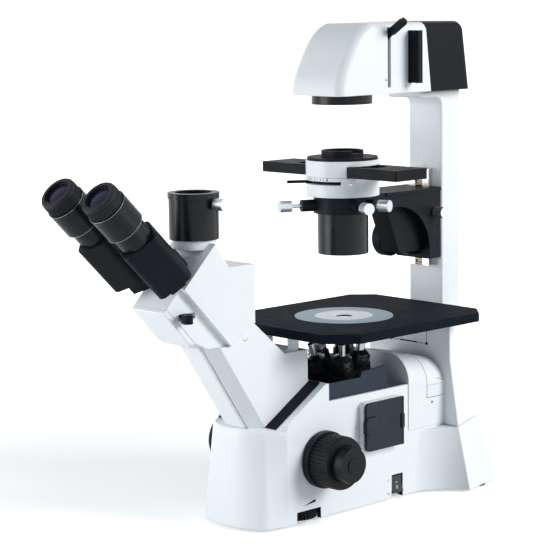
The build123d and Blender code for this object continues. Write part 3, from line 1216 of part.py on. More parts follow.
with BuildPart() as nosepiece_turret:
    turned(APEX, [(0, turret_low - TURRET_THICK), (TURRET_HUB_R, turret_low - TURRET_THICK),
                  (TURRET_HUB_R, turret_low),
                  (grip_r, turret_low), (grip_r, seat_at_grip), (TURRET_CROWN, turret_high),
                  (0, turret_high)])
    for place in range(TURRET_PLACES):
        with BuildSketch(objective_plane(place)):
            Circle(TURRET_BORE_R)
        extrude(amount=SEAT_H * 2, mode=Mode.SUBTRACT)
        with BuildSketch(objective_plane(place).offset(SEAT_DISTANCE)):
            Circle(OBJECTIVE_COLLAR_R + SEAT)
        extrude(amount=OBJECTIVE_COLLAR, mode=Mode.SUBTRACT)
    with BuildSketch(APEX.offset(grip_low)):
        Circle(TURRET_R)
        Circle(grip_r, mode=Mode.SUBTRACT)
        with PolarLocations(TURRET_R, GRIP_COUNT):
            Circle(GRIP_DEPTH / 2, mode=Mode.SUBTRACT)
    extrude(amount=GRIP_HEIGHT)
finish(nosepiece_turret, "nosepiece_turret")


def objective_shape(place):
    """One objective: thread in the turret, collar, short barrel and slim tip."""
    length, barrel, tip = OBJECTIVES[place]
    base = SEAT_DISTANCE
    shoulder = base + OBJECTIVE_COLLAR
    narrow = base + length * OBJECTIVE_SHOULDER
    neck = base + length * OBJECTIVE_NECK
    turned(objective_plane(place), [(0, base - OBJECTIVE_THREAD),
                                    (TURRET_BORE_R - SEAT, base - OBJECTIVE_THREAD),
                                    (TURRET_BORE_R - SEAT, base), (OBJECTIVE_COLLAR_R, base),
                                    (OBJECTIVE_COLLAR_R, shoulder), (barrel, shoulder), (barrel, narrow),
                                    (tip, neck), (tip, base + length), (0, base + length)])


with BuildPart() as objective_in_use:
    objective_shape(0)
finish(objective_in_use, "objective_in_use")

with BuildPart() as parked_objectives:
    for place in range(1, TURRET_PLACES):
        objective_shape(place)
finish(parked_objectives, "parked_objectives")

with BuildPart() as coarse_sleeve:
    cross_drum(SLEEVE_R, -SLEEVE_END, SLEEVE_END, KNOB_Y, KNOB_Z)
    cross_drum(PINION_R, -PINION_HALF, PINION_HALF, KNOB_Y, KNOB_Z)
    cross_drum(SHAFT_R + FIT, -SLEEVE_END, SLEEVE_END, KNOB_Y, KNOB_Z, Mode.SUBTRACT)
finish(coarse_sleeve, "coarse_sleeve")


def knob_plane(sign):
    """Plane across the focus shaft, z pointing out of the base on one side."""
    return Plane(origin=(0, AXIS_Y + KNOB_Y, KNOB_Z), x_dir=(0, 1, 0), z_dir=(sign, 0, 0))


def coarse_knob_shape(sign):
    """One coarse knob: smooth rim, ribbed grip and flat face, on the end of the sleeve."""
    out = LEFT_COLLAR if sign < 0 else 0
    bore = SHAFT_R + FIT
    turned(knob_plane(sign), [(bore, COARSE_START), (COARSE_R, COARSE_START),
                              (COARSE_R, COARSE_RIM_END + out),
                              (COARSE_GRIP_R, COARSE_RIM_END + out), (COARSE_GRIP_R, COARSE_GRIP_END + out),
                              (COARSE_FACE_R, COARSE_END + out), (bore, COARSE_END + out)])
    with BuildSketch(knob_plane(sign).offset(COARSE_RIM_END + out)) as ribs:
        with PolarLocations(COARSE_GRIP_R, KNURL_COUNT):
            Circle(KNURL_R)
    extrude(ribs.sketch, amount=COARSE_END - COARSE_RIM_END, mode=Mode.SUBTRACT)
    cross_drum(SLEEVE_R + SEAT, sign * COARSE_START, sign * SLEEVE_END, KNOB_Y, KNOB_Z, Mode.SUBTRACT)


def fine_knob_shape(sign):
    """One fine knob, tapering outwards, with a low round cap."""
    start = COARSE_END + RUN + (LEFT_COLLAR if sign < 0 else 0)
    end = FINE_LEFT_END if sign < 0 else FINE_END
    rim = start + min(FINE_RIM, (end - start) / 2)
    bore = SHAFT_R + SEAT
    turned(knob_plane(sign), [(bore, start), (FINE_R, start), (FINE_R, rim), (FINE_TIP_R, end), (CAP_R, end),
                              (CAP_R, end + CAP_HEIGHT), (0, end + CAP_HEIGHT), (0, end - FINE_WEB),
                              (bore, end - FINE_WEB)])


with BuildPart() as coarse_knobs:
    for sign in (-1, 1):
        coarse_knob_shape(sign)
finish(coarse_knobs, "coarse_knobs")

with BuildPart() as fine_knobs:
    for sign in (-1, 1):
        fine_knob_shape(sign)
finish(fine_knobs, "fine_knobs")

with BuildPart() as fine_shaft:
    cross_drum(SHAFT_R, FINE_WEB - FINE_LEFT_END, FINE_END - FINE_WEB, KNOB_Y, KNOB_Z)
finish(fine_shaft, "fine_shaft")

# Optics under the nosepiece
FOLD_PLANE = Plane(origin=(0, AXIS_Y, FOLD_Z), x_dir=(1, 0, 0), z_dir=(0, -1, 1))
with BuildPart() as fold_mirror:
    with BuildSketch(FOLD_PLANE):
        Rectangle(FOLD_SIZE, FOLD_SIZE)
    extrude(amount=-MIRROR_THICK)
finish(fold_mirror, "fold_mirror")

with BuildPart() as tube_lens:
    with BuildSketch(along(TUBE_LENS_Y)):
        with Locations((0, FOLD_Z)):
            Circle(TUBE_LENS_R)
    extrude(amount=TUBE_LENS_THICK / 2, both=True)
    fillet(tube_lens.edges().filter_by(GeomType.CIRCLE).sort_by(Axis.Y)[0], radius=TUBE_LENS_ROUND)
finish(tube_lens, "tube_lens")

fold_reach = FOLD_SIZE / 2 * sin(radians(45))
with BuildPart() as optics_bracket:
    back = MIRROR_THICK / sin(radians(45))
    floor_z = FOOT_HEIGHT + PLATE_THICK
    holder = TUBE_LENS_R + MIRROR_THICK
    box_between(-GUIDE_HALF, GUIDE_HALF, guide_y, fold_reach + back, floor_z, floor_z + BRACKET_FLOOR)
    # Guide of the nosepiece carriage, with a notch for the beam
    box_between(-GUIDE_HALF, GUIDE_HALF, guide_y, guide_y + GUIDE_DEPTH, floor_z, GUIDE_TOP)
    box_between(-BEAM_HALF, BEAM_HALF, guide_y, guide_y + GUIDE_DEPTH, FOLD_Z - BEAM_HALF, GUIDE_TOP,
                Mode.SUBTRACT)
    # Back of the mirror
    side_block([(-fold_reach, floor_z), (fold_reach + back, floor_z), (fold_reach + back,
                                                                       FOLD_Z + fold_reach),
                (fold_reach, FOLD_Z + fold_reach - back), (-fold_reach, FOLD_Z - fold_reach - back)],
                FOLD_SIZE / 2)
    # Mount of the tube lens
    box_between(-holder, holder, TUBE_LENS_Y - TUBE_LENS_THICK / 2, TUBE_LENS_Y + TUBE_LENS_THICK / 2,
                floor_z,
                FOLD_Z + holder)
    with BuildSketch(along(TUBE_LENS_Y)):
        with Locations((0, FOLD_Z)):
            Circle(TUBE_LENS_R + SEAT)
    extrude(amount=TUBE_LENS_THICK, both=True, mode=Mode.SUBTRACT)
finish(optics_bracket, "optics_bracket")

# Eyepiece arms, tubes and dioptre rings


def eye_plane(side, back):
    """Plane across one eyepiece arm: origin on the common pivot, x towards the tube, z towards the eye."""
    swing = radians(EYE_SWING)
    origin = (0, AXIS_Y + EYE_Y + back * eye_c + PIVOT_SHIFT * eye_s,
              EYE_Z - back * eye_s + PIVOT_SHIFT * eye_c)
    return Plane(origin=origin, x_dir=(side * cos(swing), -sin(swing) * eye_s, -sin(swing) * eye_c),
                 z_dir=(0, -eye_c, eye_s))


def tube_plane(side):
    """Plane at the eye end of one tube, z towards the eye."""
    across = eye_plane(side, 0)
    return Plane(origin=across.origin + across.x_dir * SWING_R, x_dir=across.x_dir, z_dir=across.z_dir)


for name, side in (("right", 1), ("left", -1)):
    collar_front = ARM_END if side > 0 else COLLAR_MID
    collar_back = COLLAR_MID - COLLAR_GAP if side > 0 else EYE_FACE - COLLAR_GAP
    with BuildPart() as eyepiece_arm:
        with BuildSketch(eye_plane(side, ARM_END)):
            with Locations((SWING_R, 0)):
                RectangleRounded(ARM_ACROSS, ARM_DEEP, EYE_ARM_ROUND)
        extrude(amount=ARM_END - ARM_START)
        with BuildSketch(eye_plane(side, collar_back)):
            with Locations(((WEB_IN + WEB_OUT) / 2, 0)):
                Rectangle(WEB_OUT - WEB_IN, 2 * WEB_HALF)
        extrude(amount=collar_back - ARM_END)
        with BuildSketch(eye_plane(side, collar_back)):
            Circle(COLLAR_R)
            with Locations((WEB_IN / 2 + HUB_R / 2, 0)):
                Rectangle(WEB_IN + WEB_HALF - HUB_R, 2 * WEB_HALF)
            Circle(HUB_R + FIT, mode=Mode.SUBTRACT)
        extrude(amount=collar_back - collar_front)
        with BuildSketch(tube_plane(side).offset(-ARM_START - TUBE_SOCKET)):
            Circle(TUBE_R + SEAT)
        extrude(amount=TUBE_SOCKET, mode=Mode.SUBTRACT)
        with BuildSketch(tube_plane(side).offset(-ARM_END)):
            Circle(BEAM_R)
        extrude(amount=ARM_END - ARM_START, mode=Mode.SUBTRACT)
    finish(eyepiece_arm, "eyepiece_arm_" + name)

    with BuildPart() as eyepiece_tube:
        turned(tube_plane(side), [(BEAM_R, -ARM_START - TUBE_SOCKET), (TUBE_R, -ARM_START - TUBE_SOCKET),
                                  (TUBE_R, -OCULAR_END), (OCULAR_R, -OCULAR_END),
                                  (OCULAR_R, -DIOPTRE_LENGTH - RUN),
                                  (NECK_RING_R, -DIOPTRE_LENGTH - RUN), (NECK_RING_R, -EYECUP_HEIGHT),
                                  (EYE_LENS_R, -EYECUP_HEIGHT), (EYE_LENS_R, -EYECUP_HEIGHT - EYE_LENS_DEPTH),
                                  (BEAM_R, -EYECUP_HEIGHT - EYE_LENS_DEPTH)])
    finish(eyepiece_tube, "eyepiece_tube_" + name)

    with BuildPart() as dioptre_ring:
        turned(tube_plane(side), [(NECK_RING_R + FIT, -DIOPTRE_LENGTH), (DIOPTRE_R, -DIOPTRE_LENGTH),
                                  (DIOPTRE_R, -EYECUP_HEIGHT), (EYECUP_R, 0), (NECK_RING_R + FIT, 0)])
    finish(dioptre_ring, "dioptre_ring_" + name)

# Photo tube on top of the head
with BuildPart() as photo_tube:
    drum(PHOTO_R, PHOTO_BOTTOM, PHOTO_TOP, 0, PHOTO_Y)
    drum(PHOTO_RIM_R, PHOTO_TOP - PHOTO_RIM, PHOTO_TOP, 0, PHOTO_Y)
    drum(PHOTO_BORE_R, PHOTO_BOTTOM + PHOTO_FLOOR, PHOTO_TOP, 0, PHOTO_Y, Mode.SUBTRACT)
    cross_drum(SCREW_R + FIT, PHOTO_BORE_R - PHOTO_FLOOR, PHOTO_RIM_R, PHOTO_SCREW_Y, PHOTO_SCREW_Z,
               Mode.SUBTRACT)
finish(photo_tube, "photo_tube")

with BuildPart() as photo_clamp:
    head_x = PHOTO_RIM_R + PHOTO_SCREW_GAP
    cross_drum(SCREW_R, PHOTO_BORE_R + RUN, head_x, PHOTO_SCREW_Y, PHOTO_SCREW_Z)
    cross_drum(SCREW_HEAD_R, head_x, head_x + SCREW_HEAD_LENGTH, PHOTO_SCREW_Y, PHOTO_SCREW_Z)
finish(photo_clamp, "photo_clamp")

# Light path lever
LEVER_PLANE = Plane(origin=(LEVER_PIVOT_X, AXIS_Y + LEVER_PIVOT_Y, LEVER_Z),
                    x_dir=(cos(radians(LEVER_ANGLE)), sin(radians(LEVER_ANGLE)), 0), z_dir=(0, 0, 1))
with BuildPart() as light_path_lever:
    with BuildSketch(LEVER_PLANE):
        Circle(LEVER_EYE_R)
        with Locations((LEVER_TAB_START / 2 + LEVER_THICK, 0)):
            Rectangle(LEVER_TAB_START, LEVER_THICK)
    extrude(amount=LEVER_THICK / 2, both=True)
    with BuildSketch(LEVER_PLANE):
        Circle(LEVER_PIN_R)
    extrude(amount=LEVER_PIN_HALF, both=True)
    tab_end = LEVER_TAB_START + LEVER_TAB_LENGTH
    with BuildSketch(LEVER_PLANE):
        outline((LEVER_TAB_START, -LEVER_TAB_TIP), (LEVER_TAB_START + LEVER_TAB_TIP, -LEVER_TAB_WIDE / 2),
                (tab_end - LEVER_TAB_TIP, -LEVER_TAB_WIDE / 2), (tab_end, -LEVER_TAB_TIP),
                (tab_end, LEVER_TAB_TIP),
                (tab_end - LEVER_TAB_TIP, LEVER_TAB_WIDE / 2),
                (LEVER_TAB_START + LEVER_TAB_TIP, LEVER_TAB_WIDE / 2),
                (LEVER_TAB_START, LEVER_TAB_TIP))
    extrude(amount=LEVER_TAB_THICK / 2, both=True)
finish(light_path_lever, "light_path_lever")

# Access door
with BuildPart() as access_door:
    door_x = BASE_HALF + DOOR_FRAME + RUN
    box_between(door_x, door_x + DOOR_THICK, DOOR_Y0, HINGE_Y, DOOR_Z0, DOOR_Z1)
    fillet(access_door.edges().filter_by(Axis.X).group_by(Axis.Y)[0], radius=DOOR_ROUND)
    drum(HINGE_R, DOOR_Z0, DOOR_Z1, HINGE_X, HINGE_Y)
    box_between(door_x - RUN, HINGE_X + HINGE_R + RUN, HINGE_Y - HINGE_REACH, HINGE_Y + HINGE_R + RUN,
                HINGE_LOW - RUN, HINGE_HIGH + RUN, Mode.SUBTRACT)
    drum(DOOR_PIN_R + FIT, HINGE_LOW - DOOR_PIN - RUN, HINGE_HIGH + DOOR_PIN + RUN, HINGE_X, HINGE_Y,
         Mode.SUBTRACT)
    latch_z = (DOOR_Z0 + DOOR_Z1) / 2
    box_between(door_x, door_x + DOOR_THICK + LATCH_LIFT, DOOR_Y0 - LATCH_LIFT, DOOR_Y0 + LATCH_LENGTH,
                latch_z - LATCH_HALF, latch_z + LATCH_HALF)
finish(access_door, "access_door")

# Power switch rocker
ROCKER_PLANE = Plane(origin=(ROCKER_PIVOT_X, AXIS_Y + SWITCH_Y0, ROCKER_Z),
                     x_dir=(cos(radians(ROCKER_TILT)), 0, sin(radians(ROCKER_TILT))), z_dir=(0, -1, 0))
with BuildPart() as power_rocker:
    with BuildSketch(ROCKER_PLANE.offset(-RUN)):
        outline((-ROCKER_BACK, -ROCKER_HALF), (ROCKER_FRONT, -ROCKER_HALF), (ROCKER_WAIST, 0),
                (ROCKER_FRONT, ROCKER_HALF), (-ROCKER_BACK, ROCKER_HALF))
    extrude(amount=-(SWITCH_Y1 - SWITCH_Y0 - 2 * RUN))
    with BuildSketch(ROCKER_PLANE.offset(ROCKER_PIN)):
        Circle(ROCKER_PIN_R)
    extrude(amount=-(SWITCH_Y1 - SWITCH_Y0 + 2 * ROCKER_PIN))
finish(power_rocker, "power_rocker")

# Brightness wheel
with BuildPart() as brightness_wheel:
    with BuildSketch(TOP.offset(DIAL_Z0)):
        with Locations((DIAL_X, DIAL_Y)):
            Circle(DIAL_R)
            with PolarLocations(DIAL_R, DIAL_NOTCHES):
                Circle(KNURL_R, mode=Mode.SUBTRACT)
    extrude(amount=DIAL_THICK)
    drum(DIAL_PIN_R, DIAL_Z0, DIAL_Z0 + DIAL_THICK + DIAL_PIN, DIAL_X, DIAL_Y)
finish(brightness_wheel, "brightness_wheel")

# Power inlet at the back
with BuildPart() as power_inlet:
    box_between(-INLET_HALF + SEAT, INLET_HALF - SEAT, REAR_BACK_Y - INLET_DEPTH, REAR_BACK_Y,
                INLET_Z - INLET_RISE + SEAT,
                INLET_Z + INLET_RISE - SEAT)
    box_between(-INLET_HALF - INLET_FLANGE, INLET_HALF + INLET_FLANGE, REAR_BACK_Y,
                REAR_BACK_Y + INLET_FLANGE / 2,
                INLET_Z - INLET_RISE - INLET_FLANGE, INLET_Z + INLET_RISE + INLET_FLANGE)
    box_between(-INLET_HALF + INLET_FLANGE, INLET_HALF - INLET_FLANGE,
                REAR_BACK_Y - INLET_DEPTH + INLET_FLANGE,
                REAR_BACK_Y + INLET_FLANGE, INLET_Z - INLET_RISE + INLET_FLANGE,
                INLET_Z + INLET_RISE - INLET_FLANGE,
                Mode.SUBTRACT)
    for pin_x in (-INLET_PIN_PITCH, 0, INLET_PIN_PITCH):
        box_between(pin_x - INLET_PIN / 2, pin_x + INLET_PIN / 2, REAR_BACK_Y - INLET_DEPTH + INLET_FLANGE,
                    REAR_BACK_Y - INLET_FLANGE, INLET_Z - INLET_PIN, INLET_Z + INLET_PIN)
finish(power_inlet, "power_inlet")
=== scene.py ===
import json
import math

import bmesh
import bpy
from mathutils import Matrix, Vector
from mathutils.bvhtree import BVHTree


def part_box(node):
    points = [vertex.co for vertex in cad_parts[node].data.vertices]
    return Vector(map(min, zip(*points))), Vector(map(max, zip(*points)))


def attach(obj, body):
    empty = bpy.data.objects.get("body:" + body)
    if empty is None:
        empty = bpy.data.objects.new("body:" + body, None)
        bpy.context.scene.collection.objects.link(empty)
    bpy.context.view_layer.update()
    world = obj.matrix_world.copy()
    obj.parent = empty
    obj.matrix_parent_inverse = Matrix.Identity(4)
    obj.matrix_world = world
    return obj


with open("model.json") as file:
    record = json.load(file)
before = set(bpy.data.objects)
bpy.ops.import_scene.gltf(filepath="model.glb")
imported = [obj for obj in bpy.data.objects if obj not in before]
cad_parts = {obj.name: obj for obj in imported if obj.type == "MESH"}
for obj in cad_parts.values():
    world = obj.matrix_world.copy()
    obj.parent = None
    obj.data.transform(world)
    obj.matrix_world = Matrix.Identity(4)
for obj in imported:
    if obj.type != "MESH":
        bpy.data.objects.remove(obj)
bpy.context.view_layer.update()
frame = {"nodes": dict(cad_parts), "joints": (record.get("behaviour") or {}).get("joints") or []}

nodes = frame["nodes"]
scene = bpy.context.scene
MM = 0.001
SHARP = math.radians(35)


def middle(node):
    low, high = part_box(node)
    return (low + high) / 2


AXIS = middle("condenser_barrel").y     # the optical axis along Y


def P(x, y, z):
    """A point given in millimetres from the optical axis, in the frame."""
    return Vector((x * MM, y * MM + AXIS, z * MM))


# Shader node helpers

def new_material(name):
    mat = bpy.data.materials.new(name)
    mat.use_nodes = True
    tree = mat.node_tree
    return mat, tree, tree.nodes["Principled BSDF"]


def add(tree, kind, **values):
    node = tree.nodes.new(kind)
    for key, value in values.items():
        setattr(node, key, value)
    return node


def position(tree):
    """Object coordinates, which for every piece here are the frame's own metres."""
    return add(tree, "ShaderNodeTexCoord").outputs["Object"]


def noise(tree, scale, detail=2.0, rough=0.5, vector=None):
    node = add(tree, "ShaderNodeTexNoise")
    node.inputs["Scale"].default_value = scale
    node.inputs["Detail"].default_value = detail
    node.inputs["Roughness"].default_value = rough
    tree.links.new(vector or position(tree), node.inputs["Vector"])
    return node.outputs["Fac"]


def ramp(tree, value, low, high, a=0.3, b=0.7):
    """Map the span from a to b onto the span from low to high."""
    node = add(tree, "ShaderNodeMapRange")
    node.inputs["From Min"].default_value = a
    node.inputs["From Max"].default_value = b
    node.inputs["To Min"].default_value = low
    node.inputs["To Max"].default_value = high
    tree.links.new(value, node.inputs["Value"])
    return node.outputs["Result"]


def maths(tree, operation, a, b):
    node = add(tree, "ShaderNodeMath", operation=operation)
    for socket, value in zip(node.inputs, (a, b)):
        if isinstance(value, float):
            socket.default_value = value
        else:
            tree.links.new(value, socket)
    return node.outputs[0]


def vector_maths(tree, operation, a, b=None):
    node = add(tree, "ShaderNodeVectorMath", operation=operation)
    for socket, value in zip(node.inputs, (a, b)):
        if isinstance(value, Vector):
            socket.default_value = value
        elif value is not None:
            tree.links.new(value, socket)
    return node


def mix(tree, fac, a, b):
    node = add(tree, "ShaderNodeMix", data_type="RGBA")
    tree.links.new(fac, node.inputs[0])
    for socket, value in ((node.inputs[6], a), (node.inputs[7], b)):
        if isinstance(value, tuple):
            socket.default_value = (*value, 1)
        else:
            tree.links.new(value, socket)
    return node.outputs[2]


def soft_normal(tree, radius):
    node = add(tree, "ShaderNodeBevel", samples=4)
    node.inputs["Radius"].default_value = radius * MM
    return node.outputs["Normal"]


def scuff_and_sheen_mask(tree, rounded):
    """Where an edge is rounded off, for edge scuffs and a painted edge highlight, broken up by a coarse
    noise.
    """
    flat = add(tree, "ShaderNodeNewGeometry").outputs["Normal"]
    same = vector_maths(tree, "DOT_PRODUCT", rounded, flat).outputs["Value"]
    edge = ramp(tree, same, 1.0, 0.0, 0.80, 0.985)
    return maths(tree, "MULTIPLY", edge, ramp(tree, noise(tree, 260, 4.0), 0.1, 0.8))


def bump(tree, shader, height, strength, distance, rounded):
    node = add(tree, "ShaderNodeBump")
    node.inputs["Strength"].default_value = strength
    node.inputs["Distance"].default_value = distance * MM
    tree.links.new(height, node.inputs["Height"])
    tree.links.new(rounded, node.inputs["Normal"])
    tree.links.new(node.outputs["Normal"], shader.inputs["Normal"])


# Materials

def coated(name, dark, light, edge_scuff_and_sheen, rough, specular=0.5, grain=1800, depth=0.04, strength=0.3, soft=0.8,
           cloud=14, coat=0.0):
    """Paint or moulded plastic: slight colour drift, uneven gloss, a fine grain, and worn edges that also
    carry a painted highlight.
    """
    mat, tree, shader = new_material(name)
    rounded = soft_normal(tree, soft)
    drift = ramp(tree, noise(tree, cloud, 4.0), 0.0, 1.0)
    body = mix(tree, drift, dark, light)
    # Rounded edges take a colour that is partly scuffing and partly a painted highlight.
    tree.links.new(mix(tree, scuff_and_sheen_mask(tree, rounded), body, edge_scuff_and_sheen), shader.inputs["Base Color"])
    gloss = ramp(tree, noise(tree, cloud * 5, 5.0), rough[0], rough[1])
    tree.links.new(gloss, shader.inputs["Roughness"])
    shader.inputs["Specular IOR Level"].default_value = specular
    shader.inputs["Coat Weight"].default_value = coat
    shader.inputs["Coat Roughness"].default_value = 0.25
    bump(tree, shader, noise(tree, grain, 3.0, 0.6), strength, depth, rounded)
    return mat


def metal(name, dark, light, rough, stretch=(1.0, 1.0, 1.0), grain=1500, soft=0.4):
    """Turned, plated or brushed metal with fine tool marks along one direction."""
    mat, tree, shader = new_material(name)
    scale = vector_maths(tree, "MULTIPLY", position(tree), Vector(stretch)).outputs["Vector"]
    marks = noise(tree, grain, 4.0, 0.6, scale)
    tree.links.new(mix(tree, marks, dark, light), shader.inputs["Base Color"])
    tree.links.new(ramp(tree, marks, rough[0], rough[1]), shader.inputs["Roughness"])
    shader.inputs["Metallic"].default_value = 1.0
    bump(tree, shader, marks, 0.15, 0.03, soft_normal(tree, soft))
    return mat


def rail_material(half_groove):
    """Nickel rail with a brass rack in its middle groove."""
    mat, tree, shader = new_material("rail_nickel_brass")
    split = add(tree, "ShaderNodeSeparateXYZ")
    tree.links.new(position(tree), split.inputs[0])
    across = maths(tree, "ABSOLUTE", split.outputs["X"], 0.0)
    is_rack = maths(tree, "LESS_THAN", across, half_groove * MM)
    marks = noise(tree, 900, 4.0)
    nickel = mix(tree, marks, (0.50, 0.50, 0.50), (0.68, 0.68, 0.66))
    gold = mix(tree, marks, (0.20, 0.17, 0.11), (0.40, 0.35, 0.24))
    tree.links.new(mix(tree, is_rack, nickel, gold), shader.inputs["Base Color"])
    shader.inputs["Metallic"].default_value = 1.0
    tree.links.new(ramp(tree, marks, 0.2, 0.34), shader.inputs["Roughness"])
    bump(tree, shader, marks, 0.15, 0.03, soft_normal(tree, 0.4))
    return mat


def objective_material(name, axis, foot, black_height):
    """Black from the foot of an objective up to a height, and plated above it."""
    mat, tree, shader = new_material(name)
    away = vector_maths(tree, "SUBTRACT", position(tree), foot).outputs["Vector"]
    height = vector_maths(tree, "DOT_PRODUCT", away, axis).outputs["Value"]
    bright = maths(tree, "GREATER_THAN", height, black_height * MM)
    marks = noise(tree, 1400, 4.0)
    plated = mix(tree, marks, (0.38, 0.41, 0.45), (0.58, 0.61, 0.65))
    dark = mix(tree, marks, (0.007, 0.008, 0.010), (0.014, 0.016, 0.02))
    tree.links.new(mix(tree, bright, dark, plated), shader.inputs["Base Color"])
    tree.links.new(bright, shader.inputs["Metallic"])
    tree.links.new(ramp(tree, marks, 0.12, 0.26), shader.inputs["Roughness"])
    shader.inputs["Specular IOR Level"].default_value = 0.3
    bump(tree, shader, marks, 0.12, 0.03, soft_normal(tree, 0.4))
    return mat


def lens_material(name, colour, rim_reflection):
    """Coated glass: a dark body with a painted coloured reflection towards its rim."""
    mat, tree, shader = new_material(name)
    facing = add(tree, "ShaderNodeLayerWeight")
    facing.inputs["Blend"].default_value = 0.35
    # Painted reflection: the colour turns to the reflected coating colour where the surface turns away from
    # the view, and in random patches.
    with_rim_reflection = mix(tree, facing.outputs["Facing"], colour, rim_reflection)
    drift = ramp(tree, noise(tree, 60, 2.0), 0.0, 0.25)
    tree.links.new(mix(tree, drift, with_rim_reflection, rim_reflection), shader.inputs["Base Color"])
    shader.inputs["Roughness"].default_value = 0.05
    shader.inputs["Specular IOR Level"].default_value = 0.08
    return mat


# Edge colours, partly scuffs and partly a painted edge highlight; each coated finish below takes its own as
# its fourth colour.
WHITE_SCUFF_AND_SHEEN = (0.88, 0.90, 0.92)
BLACK_SCUFF_AND_SHEEN = (0.018, 0.024, 0.032)
white = coated("white_paint", (0.84, 0.872, 0.90), (0.868, 0.893, 0.917), WHITE_SCUFF_AND_SHEEN, (0.34, 0.42),
               specular=0.35, depth=0.03, strength=0.2, soft=1.2)
white_plastic = coated("white_plastic", (0.84, 0.872, 0.90), (0.862, 0.889, 0.915), WHITE_SCUFF_AND_SHEEN,
                       (0.38, 0.46), specular=0.35, grain=2200, depth=0.02, strength=0.2, soft=1.0)
black = coated("black_paint", (0.0035, 0.0052, 0.008), (0.006, 0.0085, 0.012), BLACK_SCUFF_AND_SHEEN,
               (0.42, 0.55), specular=0.1, grain=2600, depth=0.05, strength=0.4, soft=0.7)
black_gloss = coated("black_anodised", (0.003, 0.004, 0.006), (0.005, 0.007, 0.010), BLACK_SCUFF_AND_SHEEN,
                     (0.24, 0.32), specular=0.2, grain=3000, depth=0.02, strength=0.1, soft=0.6)
black_plastic = coated("black_plastic", (0.003, 0.0042, 0.006), (0.005, 0.007, 0.0095), BLACK_SCUFF_AND_SHEEN,
                       (0.44, 0.56), specular=0.09, grain=1700, depth=0.07, strength=0.5, soft=0.7)
knob_black = coated("knob_black", (0.004, 0.0055, 0.0075), (0.007, 0.009, 0.012), (0.03, 0.038, 0.046),
                    (0.36, 0.48), specular=0.16, grain=1700, depth=0.05, strength=0.4, soft=0.5)
door_grey = coated("door_grey", (0.012, 0.018, 0.026), (0.018, 0.025, 0.034), (0.06, 0.07, 0.09),
                   (0.46, 0.58), specular=0.2, grain=1500, depth=0.06, strength=0.4, soft=0.6)
stage_black = coated("stage_black", (0.006, 0.0095, 0.014), (0.0085, 0.0125, 0.018), (0.04, 0.05, 0.06),
                     (0.62, 0.70), specular=0.03, grain=3500, depth=0.04, strength=0.4, soft=0.6, cloud=9)
carriage_grey = coated("carriage_grey", (0.022, 0.034, 0.048), (0.030, 0.043, 0.060), (0.06, 0.08, 0.10),
                       (0.50, 0.60), specular=0.15, grain=2400, depth=0.04, strength=0.3, soft=0.6)
rubber = coated("rubber", (0.005, 0.0065, 0.009), (0.009, 0.0115, 0.015), (0.05, 0.06, 0.075), (0.55, 0.7),
                specular=0.2, grain=900, depth=0.1, strength=0.5)
insert_grey = coated("insert_grey", (0.33, 0.41, 0.48), (0.38, 0.46, 0.53), (0.6, 0.66, 0.7), (0.45, 0.55),
                     specular=0.25, grain=2500, depth=0.03, soft=0.4)
disc_white = coated("disc_white", (0.86, 0.88, 0.90), (0.90, 0.92, 0.93), (0.82, 0.84, 0.86), (0.45, 0.55),
                    specular=0.3, grain=2500, depth=0.02, strength=0.2, soft=0.3)
ceramic = coated("ceramic", (0.68, 0.67, 0.62), (0.76, 0.75, 0.7), (0.8, 0.79, 0.75), (0.5, 0.6),
                 grain=1200, depth=0.05, soft=0.5)
green = coated("rocker_green", (0.003, 0.015, 0.013), (0.005, 0.024, 0.020), (0.02, 0.06, 0.05), (0.2, 0.3),
               specular=0.4, grain=800, depth=0.02, strength=0.2, soft=0.5, coat=0.3)
seam = coated("seam_shadow", (0.035, 0.045, 0.055), (0.06, 0.07, 0.08), (0.07, 0.08, 0.09), (0.7, 0.8),
              specular=0.1, soft=0.1)
print_grey = coated("print_grey", (0.16, 0.18, 0.20), (0.22, 0.24, 0.26), (0.3, 0.3, 0.3), (0.6, 0.7),
                    specular=0.2, soft=0.1)
print_white = coated("print_white", (0.70, 0.73, 0.75), (0.78, 0.80, 0.82), (0.8, 0.8, 0.8), (0.5, 0.6),
                     soft=0.1)
frosted = coated("lamp_frosted", (0.7, 0.72, 0.72), (0.8, 0.82, 0.82), (0.85, 0.86, 0.86), (0.3, 0.4),
                 grain=500, depth=0.05, soft=0.3)
satin = metal("satin_metal", (0.45, 0.48, 0.52), (0.58, 0.61, 0.65), (0.34, 0.44))
line_grey = metal("line_grey", (0.22, 0.24, 0.27), (0.34, 0.36, 0.40), (0.3, 0.4))
steel = metal("steel", (0.42, 0.43, 0.45), (0.6, 0.61, 0.63), (0.25, 0.38), (1.0, 1.0, 0.05))
mirror = metal("mirror_glass", (0.8, 0.82, 0.84), (0.86, 0.87, 0.89), (0.02, 0.04))
lens_purple = lens_material("lens_coated", (0.008, 0.008, 0.018), (0.035, 0.024, 0.08))
lens_clear = lens_material("lens_clear", (0.25, 0.28, 0.32), (0.5, 0.54, 0.6))

RACK_GROOVE_HALF = 5.5
OBJECTIVE_COLLAR = 8.5
OBJECTIVE_BLACK = 15.0  # height to which an objective is finished black
rail = rail_material(RACK_GROOVE_HALF)
_, turret_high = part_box("nosepiece_turret")
TURRET_AXIS = Vector(next(j["axis"] for j in frame["joints"] if j["name"] == "turret_turn"))
objective_seat = Vector((0, AXIS, turret_high.z))
objective_black = objective_material("objective_plated", Vector((0, 0, 1)), objective_seat, OBJECTIVE_BLACK)
parked_black = objective_material("objective_parked", TURRET_AXIS, objective_seat, OBJECTIVE_BLACK)

